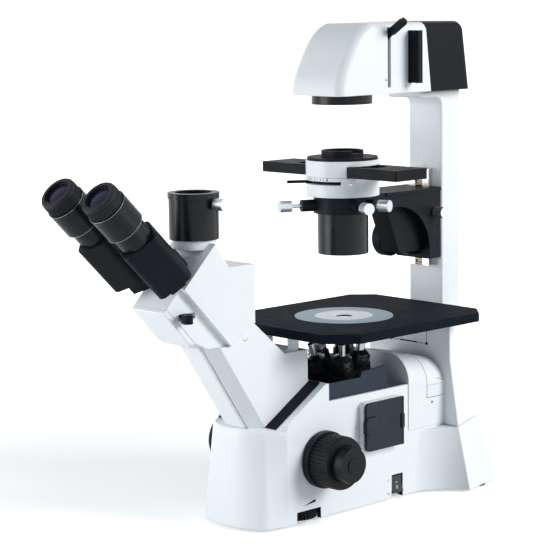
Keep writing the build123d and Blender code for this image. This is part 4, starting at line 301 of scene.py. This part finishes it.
LOOK = {
    "base_casting": white, "base_plate": steel, "rubber_feet": rubber, "pillar": white,
    "arch_cover": white_plastic, "arm": white, "head": white, "front_cover": white_plastic,
    "slope_trim": black_plastic,
    "stage_plate": stage_black, "stage_insert": insert_grey, "insert_disc": disc_white,
    "lamp_shell": white_plastic, "lamp_rear_cover": black_plastic, "field_ring": black_gloss,
    "field_lens": lens_clear, "lamp_socket": ceramic, "lamp_bulb": frosted, "collector_lens": lens_clear,
    "lamp_mirror": mirror, "lamp_chassis": black, "filter_slider": black_plastic,
    "field_iris": black_plastic,
    "carrier_rail": rail, "condenser_carrier": black, "carrier_knob": black_plastic,
    "carrier_clamp": satin,
    "centring_screw_front": satin, "centring_screw_right": satin, "centring_screw_clamp": satin,
    "condenser_barrel": black_gloss, "condenser_lens": lens_purple, "condenser_drum": white,
    "aperture_lever": black_plastic, "condenser_top": black, "phase_slider": black_plastic,
    "nosepiece_carriage": carriage_grey, "nosepiece_turret": black, "objective_in_use": objective_black,
    "parked_objectives": parked_black, "coarse_sleeve": steel, "coarse_knobs": knob_black,
    "fine_knobs": knob_black, "fine_shaft": steel, "fold_mirror": mirror, "tube_lens": lens_clear,
    "optics_bracket": black, "eyepiece_arm_right": black, "eyepiece_arm_left": black,
    "eyepiece_tube_right": black_gloss, "eyepiece_tube_left": black_gloss, "dioptre_ring_right": rubber,
    "dioptre_ring_left": rubber, "photo_tube": black_gloss, "photo_clamp": satin,
    "light_path_lever": black_plastic, "access_door": door_grey, "power_rocker": green,
    "brightness_wheel": black_plastic, "power_inlet": black_plastic,
}
# Width of the rounded edge on the pieces with flat faces, in millimetres
EDGE = {
    "pillar": 2.5, "arm": 2.5, "head": 3.0, "front_cover": 1.0, "stage_plate": 1.2,
    "eyepiece_arm_right": 1.5, "eyepiece_arm_left": 1.5, "condenser_carrier": 1.0, "phase_slider": 0.8,
    "access_door": 0.8,
    "nosepiece_carriage": 0.8, "filter_slider": 0.6, "slope_trim": 0.4, "light_path_lever": 0.6,
}


WELD_GAP = 0.01
FLAT_ANGLE = math.radians(0.6)
BEVEL_STEPS = 3
BEVEL_ANGLE = math.radians(32)
SPLIT_ANGLE = math.radians(30)


def dress(obj, material, edge):
    """Give a CAD node its finish, and round its sharp edges with modifiers."""
    obj.data.materials.clear()
    obj.data.materials.append(material)
    for face in obj.data.polygons:
        face.use_smooth = True
    weld = obj.modifiers.new("weld", "WELD")
    weld.merge_threshold = WELD_GAP * MM
    if edge:
        planar = obj.modifiers.new("planar", "DECIMATE")
        planar.decimate_type = "DISSOLVE"
        planar.angle_limit = FLAT_ANGLE
        bevel = obj.modifiers.new("edge", "BEVEL")
        bevel.width = edge * MM
        bevel.segments = BEVEL_STEPS
        bevel.limit_method = "ANGLE"
        bevel.angle_limit = BEVEL_ANGLE
        bevel.use_clamp_overlap = True
    else:
        split = obj.modifiers.new("split", "EDGE_SPLIT")
        split.split_angle = SPLIT_ANGLE
    normals = obj.modifiers.new("normals", "WEIGHTED_NORMAL")
    normals.keep_sharp = True


for name, obj in nodes.items():
    dress(obj, LOOK[name], EDGE.get(name, 0))

# Mesh helpers for the detail pieces

trees = {}


def surface(node, start, direction):
    """Where a line from a point first meets a node, and the node's normal there."""
    if node not in trees:
        mesh = nodes[node].data
        points = [v.co for v in mesh.vertices]
        trees[node] = BVHTree.FromPolygons(points, [p.vertices for p in mesh.polygons])
    point, normal, _, _ = trees[node].ray_cast(start, Vector(direction))
    return point, normal


def piece(name, bm, material, body):
    """Turn a finished mesh into a piece of the scene that moves with a body."""
    bmesh.ops.recalc_face_normals(bm, faces=bm.faces[:])
    for face in bm.faces:
        face.smooth = True
    for edge in bm.edges:
        if len(edge.link_faces) != 2 or edge.calc_face_angle() > SHARP:
            edge.smooth = False
    mesh = bpy.data.meshes.new(name)
    bm.to_mesh(mesh)
    bm.free()
    mesh.materials.append(material)
    obj = bpy.data.objects.new(name, mesh)
    scene.collection.objects.link(obj)
    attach(obj, body)
    return obj


def turned(bm, profile, origin, axis, closed=False, steps=72):
    """Spin (radius, distance along the axis) points, in millimetres, about an axis."""
    axis = Vector(axis).normalized()
    side = axis.orthogonal().normalized()
    across = axis.cross(side)
    turns = [math.tau * k / steps for k in range(steps)]
    rings = []
    for radius, along in profile:
        centre = origin + axis * along * MM
        if radius:
            rim = [centre + (side * math.cos(t) + across * math.sin(t)) * radius * MM for t in turns]
        else:
            rim = [centre]
        rings.append([bm.verts.new(point) for point in rim])
    pairs = list(zip(rings, rings[1:]))
    if closed:
        pairs.append((rings[-1], rings[0]))
    for low, high in pairs:
        for k in range(steps):
            n = (k + 1) % steps
            if len(low) == 1:
                bm.faces.new((low[0], high[k], high[n]))
            elif len(high) == 1:
                bm.faces.new((low[k], low[n], high[0]))
            else:
                bm.faces.new((low[k], low[n], high[n], high[k]))


def band(bm, radius, start, end, height, origin, axis):
    """A thin raised ring around a turned piece, with sloping flanks."""
    flank = height / 2
    turned(bm, [(radius - height, start), (radius + height, start + flank), (radius + height, end - flank),
                (radius - height, end)], origin, axis, closed=True)


def slab(bm, outline, depth):
    """A plate with the given outline, thickened along a vector."""
    back = [bm.verts.new(p) for p in outline]
    front = [bm.verts.new(p + depth) for p in outline]
    bm.faces.new(front)
    bm.faces.new(back[::-1])
    for k in range(len(outline)):
        n = (k + 1) % len(outline)
        bm.faces.new((back[k], back[n], front[n], front[k]))


LINE_RISE = 0.12       # how far a printed mark or a seam line stands out of its surface
LINE_SINK = 0.1


def line(bm, points, normal, width, rise=LINE_RISE):
    """A narrow line along points on a surface; normal is one vector, or a list with one for each run."""
    runs = list(zip(points, points[1:]))
    normals = normal if isinstance(normal, list) else [normal] * len(runs)
    for (start, end), up in zip(runs, normals):
        up = Vector(up).normalized()
        along = (end - start).normalized()
        side = along.cross(up).normalized() * width * MM / 2
        ends = along * width * MM / 2
        sink = up * -LINE_SINK * MM
        outline = [start - side - ends + sink, end - side + ends + sink, end + side + ends + sink,
                   start + side - ends + sink]
        slab(bm, outline, up * (LINE_SINK + rise) * MM)


def ribs(bm, origin, axis, radius, start, end, count, width, height):
    """Straight ribs along a turned grip."""
    axis = Vector(axis).normalized()
    side = axis.orthogonal().normalized()
    across = axis.cross(side)
    for k in range(count):
        turn = math.tau * k / count
        out = side * math.cos(turn) + across * math.sin(turn)
        foot = origin + out * (radius - height) * MM
        line(bm, [foot + axis * start * MM, foot + axis * end * MM], out, width, 2 * height)


SCREW_SOCKET = 0.45     # parts of a screw head as shares of its radius and height
SCREW_FLAT = 0.85
SCREW_FLOOR = 0.3
SCREW_CHAMFER = 0.7
SCREW_SINK = 0.5


def screw(bm, point, normal, radius, rise):
    """A round screw head with a socket, standing on a surface."""
    socket = radius * SCREW_SOCKET
    floor = rise * SCREW_FLOOR
    turned(bm, [(0, floor), (socket, floor), (socket, rise), (radius * SCREW_FLAT, rise),
                (radius, rise * SCREW_CHAMFER), (radius, -SCREW_SINK)], point, normal, steps=24)


RIGHT = Vector((1, 0, 0))
FRONT = Vector((0, -1, 0))
UP = Vector((0, 0, 1))

# Eyepieces: lens, bright lines and the ribs of the dioptre ring

EYE_AXIS = Vector((0, -1, 1)).normalized()
EYE_LENS_R = 12.4
EYE_LENS_SINK = 2.2
EYE_LENS_DOME = 1.6
EYE_LENS_EDGE = 2.0
EYE_LENS_STOPS = (0, 0.25, 0.5, 0.75, 0.9, 1)
OCULAR_R = 20.5
OCULAR_LENGTH = 30.0
OCULAR_LINE = 0.5
OCULAR_LINE_RISE = 0.12
DIOPTRE_RIBS = 54
DIOPTRE_RIB = (1.0, 0.45)
DIOPTRE_GRIP = (-0.75, 0.45)     # reach of the ribs, as shares of half the ring


def eyepiece_details(side):
    ring = "dioptre_ring_" + side
    low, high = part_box(ring)
    radius = (high.x - low.x) / 2 / MM
    half = (high.y - low.y) / 2 / MM / EYE_AXIS.z - radius
    centre = middle(ring)
    front = centre + EYE_AXIS * half * MM
    body = "eyepiece_" + side
    bm = bmesh.new()
    dome = [(EYE_LENS_R * s, EYE_LENS_DOME * (1 - s * s) - EYE_LENS_SINK) for s in EYE_LENS_STOPS]
    turned(bm, dome + [(EYE_LENS_R, -EYE_LENS_SINK - EYE_LENS_EDGE)], front, EYE_AXIS)
    piece("eye_lens_" + side, bm, lens_purple, body)
    bm = bmesh.new()
    for start in (-2 * half - OCULAR_LINE, -2 * half - OCULAR_LENGTH):
        band(bm, OCULAR_R, start, start + OCULAR_LINE, OCULAR_LINE_RISE, front, EYE_AXIS)
    piece("ocular_lines_" + side, bm, line_grey, body)
    bm = bmesh.new()
    start, end = (half * share for share in DIOPTRE_GRIP)
    ribs(bm, centre, EYE_AXIS, radius, start, end, DIOPTRE_RIBS, *DIOPTRE_RIB)
    piece("dioptre_ribs_" + side, bm, rubber, "dioptre_" + side)


for side in ("right", "left"):
    eyepiece_details(side)

# Condenser: seam and scale on the drum, sleeve on the knob's shaft, joints of the carrier

DRUM_R = 40.0
DRUM_SEAM_Z = 358.6
DRUM_SEAM_FRONT = (-141, -39)
DRUM_SEAM_BACK = (39, 141)
SCALE_Z = (355.4, 357.4)
SCALE_ANGLES = (-118, -106, -94, -82, -70)
SCALE_LONG = (-106, -70)
DRUM_SCREW = (-33, 351.6, 1.7)
DRUM_SCREW_RISE = 0.5
DRUM_SEAM_WIDTH = 0.35
ARC_STEPS = 36
TICK_WIDE = 1.1
TICK_NARROW = 0.5
DASH_WIDTH = 0.4
DASH_SPAN = (3, 7)      # degrees after a tick
SLEEVE_R = 4.4
SLEEVE_EDGE = 0.4
SLEEVE_SPAN = (13.5, 26.5)


def drum_point(angle, z):
    turn = math.radians(angle)
    out = Vector((math.cos(turn), math.sin(turn), 0))
    return P(0, 0, z) + out * DRUM_R * MM, out


def arc_line(bm, first, last, z, width):
    stops = [drum_point(first + (last - first) * k / ARC_STEPS, z) for k in range(ARC_STEPS + 1)]
    line(bm, [p for p, _ in stops], [out for _, out in stops[:-1]], width)


def condenser_details():
    bm = bmesh.new()
    for first, last in (DRUM_SEAM_FRONT, DRUM_SEAM_BACK):
        arc_line(bm, first, last, DRUM_SEAM_Z, DRUM_SEAM_WIDTH)
    piece("drum_seam", bm, print_grey, "condenser")
    bm = bmesh.new()
    low_z, high_z = SCALE_Z
    for angle in SCALE_ANGLES:
        foot, out = drum_point(angle, low_z)
        tip, _ = drum_point(angle, high_z)
        line(bm, [foot, tip], out, TICK_WIDE if angle in SCALE_LONG else TICK_NARROW)
    start, end = DASH_SPAN
    for angle in SCALE_ANGLES[:-1]:
        arc_line(bm, angle + start, angle + end, (low_z + high_z) / 2, DASH_WIDTH)
    piece("drum_scale", bm, seam, "condenser")
    bm = bmesh.new()
    angle, z, radius = DRUM_SCREW
    point, out = drum_point(angle, z)
    screw(bm, point, out, radius, DRUM_SCREW_RISE)
    piece("drum_screw", bm, steel, "condenser")
    knob = middle("carrier_knob")
    bm = bmesh.new()
    near, far = SLEEVE_SPAN
    shaft = Vector((0, knob.y, knob.z))
    edge = SLEEVE_EDGE
    turned(bm, [(0, near), (SLEEVE_R - edge, near), (SLEEVE_R, near + edge), (SLEEVE_R, far), (0, far)],
           shaft, -RIGHT)
    piece("carrier_knob_sleeve", bm, steel, "condenser_focus")


CARRIER_SEAM_WIDTH = 0.5
CARRIER_UPRIGHT = ((25, 118.9, 331.9), (25, 118.9, 285.6))
CARRIER_LEVEL = ((13, 68.5, 291.5), (13, 98.7, 287.6))
CARRIER_BACK = ((25, 113.0, 286.3), (25, 118.9, 285.6))
SIDE_START = 200.0     # lines towards a side start this far out, in millimetres


def side_points(node, points, sign):
    """The given points, moved along X onto a node's side."""
    found = [surface(node, P(sign * SIDE_START, y, z), (-sign, 0, 0)) for _, y, z in points]
    return [point for point, _ in found]


def carrier_details():
    bm = bmesh.new()
    for sign in (1, -1):
        for path in (CARRIER_UPRIGHT, CARRIER_LEVEL, CARRIER_BACK):
            line(bm, side_points("condenser_carrier", path, sign), RIGHT * sign, CARRIER_SEAM_WIDTH)
    piece("carrier_seams", bm, black_gloss, "condenser")


condenser_details()
carrier_details()

# Base: joint and hatch of the arched cover, panel on the pillar, marks of the controls

ARCH_SEAM_Y = 76.0
ARCH_SEAM_FOOT = 107.0
HATCH_TOP = 121.0
HATCH_BACK_Y = 103.0
ARCH_STEPS = 48
ARCH_SCREW = (84.3, 101.5, 1.3)
ARCH_SCREW_RISE = 0.3
ARCH_SEAM_WIDTH = 0.55
HATCH_LINE = (3.0, 0.3)          # how far it stops short of the back, and its width
PANEL_HALF = 27.5
PANEL_FOOT = 161.5
PANEL_HEAD = 193.0
PANEL_SLOT = (-12.7, 11.7)
PANEL_PEG_R = 1.9
PANEL_PEG_RISE = 0.5
PANEL_LINE = 0.6
PANEL_SLOT_WIDTH = 1.6
WEDGE = ((-116.3, 20.4), (-98.5, 25.2), (-98.5, 22.2))
WEDGE_RISE = 0.15


def arch_details():
    centre = Vector((0, AXIS + ARCH_SEAM_Y * MM, HATCH_TOP * MM))
    path = []
    for sign in (1, -1):
        for z in (ARCH_SEAM_FOOT, HATCH_TOP):
            point, normal = surface("arch_cover", P(sign * SIDE_START, ARCH_SEAM_Y, z), (-sign, 0, 0))
            path.append((sign * (z - 2 * HATCH_TOP), point, normal))
    for k in range(1, ARCH_STEPS):
        turn = math.pi * k / ARCH_STEPS
        out = Vector((math.cos(turn), 0, math.sin(turn)))
        point, normal = surface("arch_cover", centre + out * SIDE_START * MM, -out)
        path.append((k - ARCH_STEPS / 2, point, normal))
    right = [(p, n) for key, p, n in path if key <= -ARCH_STEPS]
    left = [(p, n) for key, p, n in path if key >= ARCH_STEPS]
    top = [(p, n) for key, p, n in path if abs(key) < ARCH_STEPS / 2]
    stops = right + top + left[::-1]
    normals = [(a[1] + b[1]) for a, b in zip(stops, stops[1:])]
    bm = bmesh.new()
    line(bm, [p for p, _ in stops], normals, ARCH_SEAM_WIDTH)
    for sign in (1, -1):
        foot = ((0, ARCH_SEAM_Y, ARCH_SEAM_FOOT), (0, HATCH_BACK_Y, ARCH_SEAM_FOOT))
        line(bm, side_points("arch_cover", foot, sign), RIGHT * sign, ARCH_SEAM_WIDTH)
    piece("arch_seam", bm, seam, "stand")
    bm = bmesh.new()
    for sign in (1, -1):
        short, width = HATCH_LINE
        head = ((0, ARCH_SEAM_Y, HATCH_TOP), (0, HATCH_BACK_Y - short, HATCH_TOP))
        line(bm, side_points("arch_cover", head, sign), RIGHT * sign, width)
    piece("arch_hatch_line", bm, print_grey, "stand")
    bm = bmesh.new()
    y, z, radius = ARCH_SCREW
    for sign in (1, -1):
        point, normal = surface("arch_cover", P(sign * SIDE_START, y, z), (-sign, 0, 0))
        screw(bm, point, normal, radius, ARCH_SCREW_RISE)
    piece("arch_screws", bm, black_gloss, "stand")


def pillar_details():
    front_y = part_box("arch_cover")[1].y
    y = (front_y - AXIS) / MM
    bm = bmesh.new()
    corners = [P(-PANEL_HALF, y, PANEL_HEAD), P(-PANEL_HALF, y, PANEL_FOOT), P(PANEL_HALF, y, PANEL_FOOT),
               P(PANEL_HALF, y, PANEL_HEAD)]
    line(bm, corners, FRONT, PANEL_LINE)
    start, end = PANEL_SLOT
    line(bm, [P(start, y, PANEL_FOOT), P(end, y, PANEL_FOOT)], FRONT, PANEL_SLOT_WIDTH)
    for x in (-PANEL_HALF, PANEL_HALF):
        flat = PANEL_PEG_R * 0.8
        turned(bm, [(0, PANEL_PEG_RISE), (flat, PANEL_PEG_RISE), (PANEL_PEG_R, 0.2), (PANEL_PEG_R, -0.3)],
               P(x, y, PANEL_FOOT), FRONT, steps=24)
    piece("pillar_panel_joint", bm, seam, "stand")


WHEEL_WINDOW = (35.0, 11.8)
WINDOW_DEPTH = 3.8
LINER = 0.25
NOTCH_DEPTH = 8.8
NOTCH_SPAN_Y = (19.0, 36.7)
NOTCH_TOP = 29.0
HINGE_Z = (84.0, 99.0)
HINGE_CAP = (60.0, 65.1, 23.3, 28.4)
SWITCH_MARKS = ((14.0, 24.0), (14.0, 8.9))
SWITCH_BAR = (1.3, 0.5)          # half length and width
SWITCH_RING = (0.9, 1.4)
HINGE_ROUND = 1.2
LINER_RETURN = 2.0
SIDE_PROBE = (0, 0, 50.0)        # a plain place on the side of the base


def block(bm, x, y, z):
    """A thin plate between two corners, given as spans in millimetres."""
    outline = [P(x[0], y[0], z[0]), P(x[1], y[0], z[0]), P(x[1], y[1], z[0]), P(x[0], y[1], z[0])]
    slab(bm, outline, UP * (z[1] - z[0]) * MM)


def control_liners():
    """Black linings of the openings for the brightness wheel and the switch."""
    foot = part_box("base_casting")[0].z / MM
    side = side_points("base_casting", (SIDE_PROBE,), 1)[0].x / MM
    wheel = middle("brightness_wheel")
    wheel_y = (wheel.y - AXIS) / MM
    wide, tall = WHEEL_WINDOW
    y0, y1 = wheel_y - wide / 2, wheel_y + wide / 2
    top = foot + tall
    inner = side - WINDOW_DEPTH
    bm = bmesh.new()
    block(bm, (inner, side), (y0, y0 + LINER), (foot, top))
    block(bm, (inner, side), (y1 - LINER, y1), (foot, top))
    block(bm, (inner, side), (y0, y1), (top, top + LINER))
    block(bm, (inner, inner + LINER), (y0, y0 + LINER_RETURN), (foot, top))
    block(bm, (inner, inner + LINER), (y1 - LINER_RETURN, y1), (foot, top))
    y0, y1 = NOTCH_SPAN_Y
    inner = side - NOTCH_DEPTH
    block(bm, (inner, side), (y0, y0 + LINER), (foot, NOTCH_TOP))
    block(bm, (inner, side), (y1 - LINER, y1), (foot, NOTCH_TOP))
    block(bm, (inner, side), (y0, y1), (NOTCH_TOP - LINER, NOTCH_TOP))
    block(bm, (inner - LINER, inner), (y0, y1), (foot, NOTCH_TOP))
    piece("control_liners", bm, black_plastic, "stand")


def hinge_cap():
    x0, x1, y0, y1 = HINGE_CAP
    bm = bmesh.new()
    block(bm, (x0, x1), (y0, y1), HINGE_Z)
    upright = [e for e in bm.edges if abs(e.verts[0].co.z - e.verts[1].co.z) > MM]
    bmesh.ops.bevel(bm, geom=upright, offset=HINGE_ROUND * MM, segments=4, affect="EDGES", profile=0.5)
    piece("door_hinge_cap", bm, door_grey, "stand")


def switch_marks():
    """A bar and a ring printed beside the switch."""
    (bar_y, bar_z), (ring_y, ring_z) = SWITCH_MARKS
    bm = bmesh.new()
    half, width = SWITCH_BAR
    ends = side_points("base_casting", ((0, bar_y, bar_z - half), (0, bar_y, bar_z + half)), 1)
    line(bm, ends, RIGHT, width)
    ring = side_points("base_casting", ((0, ring_y, ring_z),), 1)[0]
    inner, outer = SWITCH_RING
    turned(bm, [(inner, -LINE_SINK), (inner, LINE_RISE), (outer, LINE_RISE), (outer, -LINE_SINK)],
           ring, RIGHT, steps=32)
    piece("switch_marks", bm, print_grey, "stand")


def control_marks():
    bm = bmesh.new()
    outline = [surface("base_casting", P(SIDE_START, y, z), -RIGHT)[0] for y, z in WEDGE]
    slab(bm, outline, RIGHT * WEDGE_RISE * MM)
    piece("brightness_wedge", bm, black_plastic, "stand")


arch_details()
pillar_details()
control_liners()
hinge_cap()
switch_marks()
control_marks()

ROCKER_Y = 27.8
ROCKER_DASH_Z = 19.6
ROCKER_RING_Z = 14.2
ROCKER_DASH = 3.2
ROCKER_RING_R = 1.7
ROCKER_MARK = 0.6
LATCH = ((-33.2, 99.0), (-30.5, 102.5), (-20.0, 102.5), (-17.4, 99.5), (-17.4, 88.0), (-29.0, 83.8),
         (-33.2, 86.5))
LATCH_RISE = 0.25
LATCH_GAP = 2.2
LATCH_GAP_RISE = 0.1
LATCH_ROUND = 0.9
DOOR_MIDDLE_Z = 91.5


def rocker_marks():
    bm = bmesh.new()
    dash, normal = surface("power_rocker", P(SIDE_START, ROCKER_Y, ROCKER_DASH_Z), -RIGHT)
    across = Vector((0, ROCKER_DASH / 2 * MM, 0))
    line(bm, [dash - across, dash + across], normal, ROCKER_MARK)
    ring, normal = surface("power_rocker", P(SIDE_START, ROCKER_Y, ROCKER_RING_Z), -RIGHT)
    turned(bm, [(ROCKER_RING_R - ROCKER_MARK, -LINE_SINK), (ROCKER_RING_R - ROCKER_MARK, LINE_RISE),
                (ROCKER_RING_R, LINE_RISE), (ROCKER_RING_R, -LINE_SINK)], ring, normal, steps=36)
    piece("rocker_marks", bm, print_white, "rocker")


def door_latch():
    face_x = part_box("access_door")[1].x
    plate, _ = surface("access_door", P(SIDE_START, 0, DOOR_MIDDLE_Z), -RIGHT)
    outline = [Vector((plate.x, AXIS + y * MM, z * MM)) for y, z in LATCH]
    bm = bmesh.new()
    slab(bm, outline, RIGHT * (face_x - plate.x + LATCH_RISE * MM))
    edges = [e for e in bm.edges if min(v.co.x for v in e.verts) > face_x]
    bmesh.ops.bevel(bm, geom=edges, offset=LATCH_ROUND * MM, segments=3, affect="EDGES", profile=0.6)
    piece("door_latch", bm, door_grey, "door")
    bm = bmesh.new()
    line(bm, outline[1:6], RIGHT, LATCH_GAP, LATCH_GAP_RISE)
    piece("door_latch_gap", bm, black_gloss, "door")


rocker_marks()
door_latch()

# Arm and lamp house: finger notch, screws and grip groove

NOTCH_AT = (-173.4, 205.0)
NOTCH_R = 3.2
NOTCH_SPAN = (200, 340)
NOTCH_STEPS = 12
NOTCH_LINE = 0.5
LAMP_SCREW_RISE = 0.25
LAMP_SCREW = (28.7, 461.0, 1.5)
GROOVE_HALF = 26.0
GROOVE_LINE = (1.2, 0.05)        # width and rise


def arm_notch():
    y, z = NOTCH_AT
    first, last = NOTCH_SPAN
    bm = bmesh.new()
    for sign in (1, -1):
        stops = []
        for k in range(NOTCH_STEPS + 1):
            turn = math.radians(first + (last - first) * k / NOTCH_STEPS)
            at = P(sign * SIDE_START, y + NOTCH_R * math.cos(turn), z + NOTCH_R * math.sin(turn))
            stops.append(surface("arm", at, (-sign, 0, 0))[0])
        line(bm, stops, RIGHT * sign, NOTCH_LINE)
    piece("arm_finger_notch", bm, print_grey, "stand")


def lamp_details():
    y, z, radius = LAMP_SCREW
    bm = bmesh.new()
    for sign in (1, -1):
        point, normal = surface("lamp_shell", P(sign * SIDE_START, y, z), (-sign, 0, 0))
        screw(bm, point, normal, radius, LAMP_SCREW_RISE)
    piece("lamp_screws", bm, insert_grey, "stand")
    centre = middle("filter_slider")
    _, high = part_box("filter_slider")
    bm = bmesh.new()
    ends = [Vector((high.x, centre.y, centre.z + s * GROOVE_HALF * MM)) for s in (-1, 1)]
    line(bm, ends, RIGHT, *GROOVE_LINE)
    piece("filter_groove", bm, black_gloss, "filter")


arm_notch()
lamp_details()

# Nosepiece: ribbed collar on the objective in use

COLLAR_R = 12.0
COLLAR_RIBS = 48
COLLAR_RIB = (0.7, 0.3)
COLLAR_MARGIN = 1.5


def objective_details():
    bm = bmesh.new()
    top = OBJECTIVE_COLLAR - COLLAR_MARGIN
    ribs(bm, objective_seat, UP, COLLAR_R, COLLAR_MARGIN, top, COLLAR_RIBS, *COLLAR_RIB)
    piece("objective_grip", bm, black_gloss, "turret")


objective_details()

# Underside and back: screws of the bottom plate and of the power inlet

PLATE_SCREW_IN = 8.0
PLATE_SCREW = (2.6, 1.0)         # radius and height
INLET_SCREW = (1.3, 0.5)
INLET_SCREW_IN = 1.6


def hidden_screws():
    low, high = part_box("base_plate")
    inset = PLATE_SCREW_IN * MM
    bm = bmesh.new()
    for x in (low.x + inset, high.x - inset):
        for y in (low.y + inset * 5, (low.y + high.y) / 2, high.y - inset):
            screw(bm, Vector((x, y, low.z)), -UP, *PLATE_SCREW)
    piece("bottom_screws", bm, steel, "stand")
    low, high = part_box("power_inlet")
    bm = bmesh.new()
    for x in (low.x + INLET_SCREW_IN * MM, high.x - INLET_SCREW_IN * MM):
        screw(bm, Vector((x, high.y, (low.z + high.z) / 2)), -FRONT, *INLET_SCREW)
    piece("inlet_screws", bm, steel, "stand")


hidden_screws()

# Camera at the photograph's viewing angle

IMAGE = 550
FOCAL_PIXELS = 1903.87
SENSOR = 36.0
CAMERA_AT = Vector((1.450884, -1.368702, 0.548965))
AZIMUTH, PITCH, ROLL = (math.radians(v) for v in (46.673, -8.249, -0.785))


def make_camera():
    data = bpy.data.cameras.new("camera")
    camera = bpy.data.objects.new("camera", data)
    scene.collection.objects.link(camera)
    data.sensor_width = SENSOR
    data.lens = FOCAL_PIXELS / IMAGE * SENSOR
    data.clip_end = 50
    ahead = Vector((-math.sin(AZIMUTH), math.cos(AZIMUTH), 0))
    forward = ahead * math.cos(PITCH) + UP * math.sin(PITCH)
    level = Vector((math.cos(AZIMUTH), math.sin(AZIMUTH), 0))
    upright = level.cross(forward)
    right = level * math.cos(ROLL) + upright * math.sin(ROLL)
    up = upright * math.cos(ROLL) - level * math.sin(ROLL)
    turn = Matrix((right, up, -forward)).transposed()
    camera.matrix_world = Matrix.Translation(CAMERA_AT) @ turn.to_4x4()
    scene.camera = camera


make_camera()
scene.view_settings.view_transform = "Standard"

# Light: a key from the right and behind, a fill from the front left, and a pale bluish surround


def area_light(name, place, target, size, power):
    data = bpy.data.lights.new(name, "AREA")
    data.shape = "RECTANGLE"
    data.size, data.size_y = size
    data.energy = power
    lamp = bpy.data.objects.new(name, data)
    scene.collection.objects.link(lamp)
    lamp.location = place
    lamp.rotation_mode = "QUATERNION"
    lamp.rotation_quaternion = (Vector(target) - Vector(place)).to_track_quat("-Z", "Y")
    lamp.visible_camera = False


KEY_AT, KEY_TO, KEY_SIZE, KEY_POWER = (3.0, 1.7, 1.9), (0, 0.05, 0.25), (1.8, 1.8), 118
FILL_AT, FILL_TO, FILL_SIZE, FILL_POWER = (-0.65, -1.2, 0.45), (0, 0, 0.2), (0.9, 0.9), 13.5
area_light("key_right", KEY_AT, KEY_TO, KEY_SIZE, KEY_POWER)
area_light("fill_front", FILL_AT, FILL_TO, FILL_SIZE, FILL_POWER)


def seen_directly(tree):
    """One for rays from the camera and for rays mirrored or let through by metal and glass."""
    rays = add(tree, "ShaderNodeLightPath")
    mirrored = maths(tree, "MAXIMUM", rays.outputs["Is Glossy Ray"], rays.outputs["Is Transmission Ray"])
    return maths(tree, "MAXIMUM", rays.outputs["Is Camera Ray"], mirrored)


SKY_TINT = (0.72, 0.90, 1.0)
SKY_STRENGTH = 0.24


def make_world():
    world = bpy.data.worlds.new("world")
    scene.world = world
    world.use_nodes = True
    tree = world.node_tree
    background = tree.nodes["Background"]
    seen = seen_directly(tree)
    tree.links.new(mix(tree, seen, SKY_TINT, (1.0, 1.0, 1.0)), background.inputs["Color"])
    tree.links.new(ramp(tree, seen, SKY_STRENGTH, 1.0, 0.0, 1.0), background.inputs["Strength"])


FLOOR_HALF = 30.0
FLOOR_LIFT = (0.5, 1.2)
FLOOR_FADE = (0.45, 1.5)


def make_floor():
    """White floor that keeps the shadow near the object and turns to plain white further out."""
    mesh = bpy.data.meshes.new("floor")
    h = FLOOR_HALF
    mesh.from_pydata([(-h, -h, 0), (h, -h, 0), (h, h, 0), (-h, h, 0)], [], [(0, 1, 2, 3)])
    floor = bpy.data.objects.new("floor", mesh)
    scene.collection.objects.link(floor)
    mat, tree, shader = new_material("floor_white")
    shader.inputs["Roughness"].default_value = 0.9
    shader.inputs["Specular IOR Level"].default_value = 0.1
    drift = ramp(tree, noise(tree, 3, 2.0), 0.0, 1.0)
    tree.links.new(mix(tree, drift, (0.82, 0.82, 0.82), (0.85, 0.85, 0.85)), shader.inputs["Base Color"])
    away = vector_maths(tree, "LENGTH", position(tree)).outputs["Value"]
    lift = ramp(tree, away, *FLOOR_LIFT, *FLOOR_FADE)
    glow = add(tree, "ShaderNodeEmission")
    tree.links.new(maths(tree, "MULTIPLY", lift, seen_directly(tree)), glow.inputs["Strength"])
    total = add(tree, "ShaderNodeAddShader")
    tree.links.new(shader.outputs[0], total.inputs[0])
    tree.links.new(glow.outputs[0], total.inputs[1])
    tree.links.new(total.outputs[0], tree.nodes["Material Output"].inputs["Surface"])
    mesh.materials.append(mat)


make_world()
make_floor()
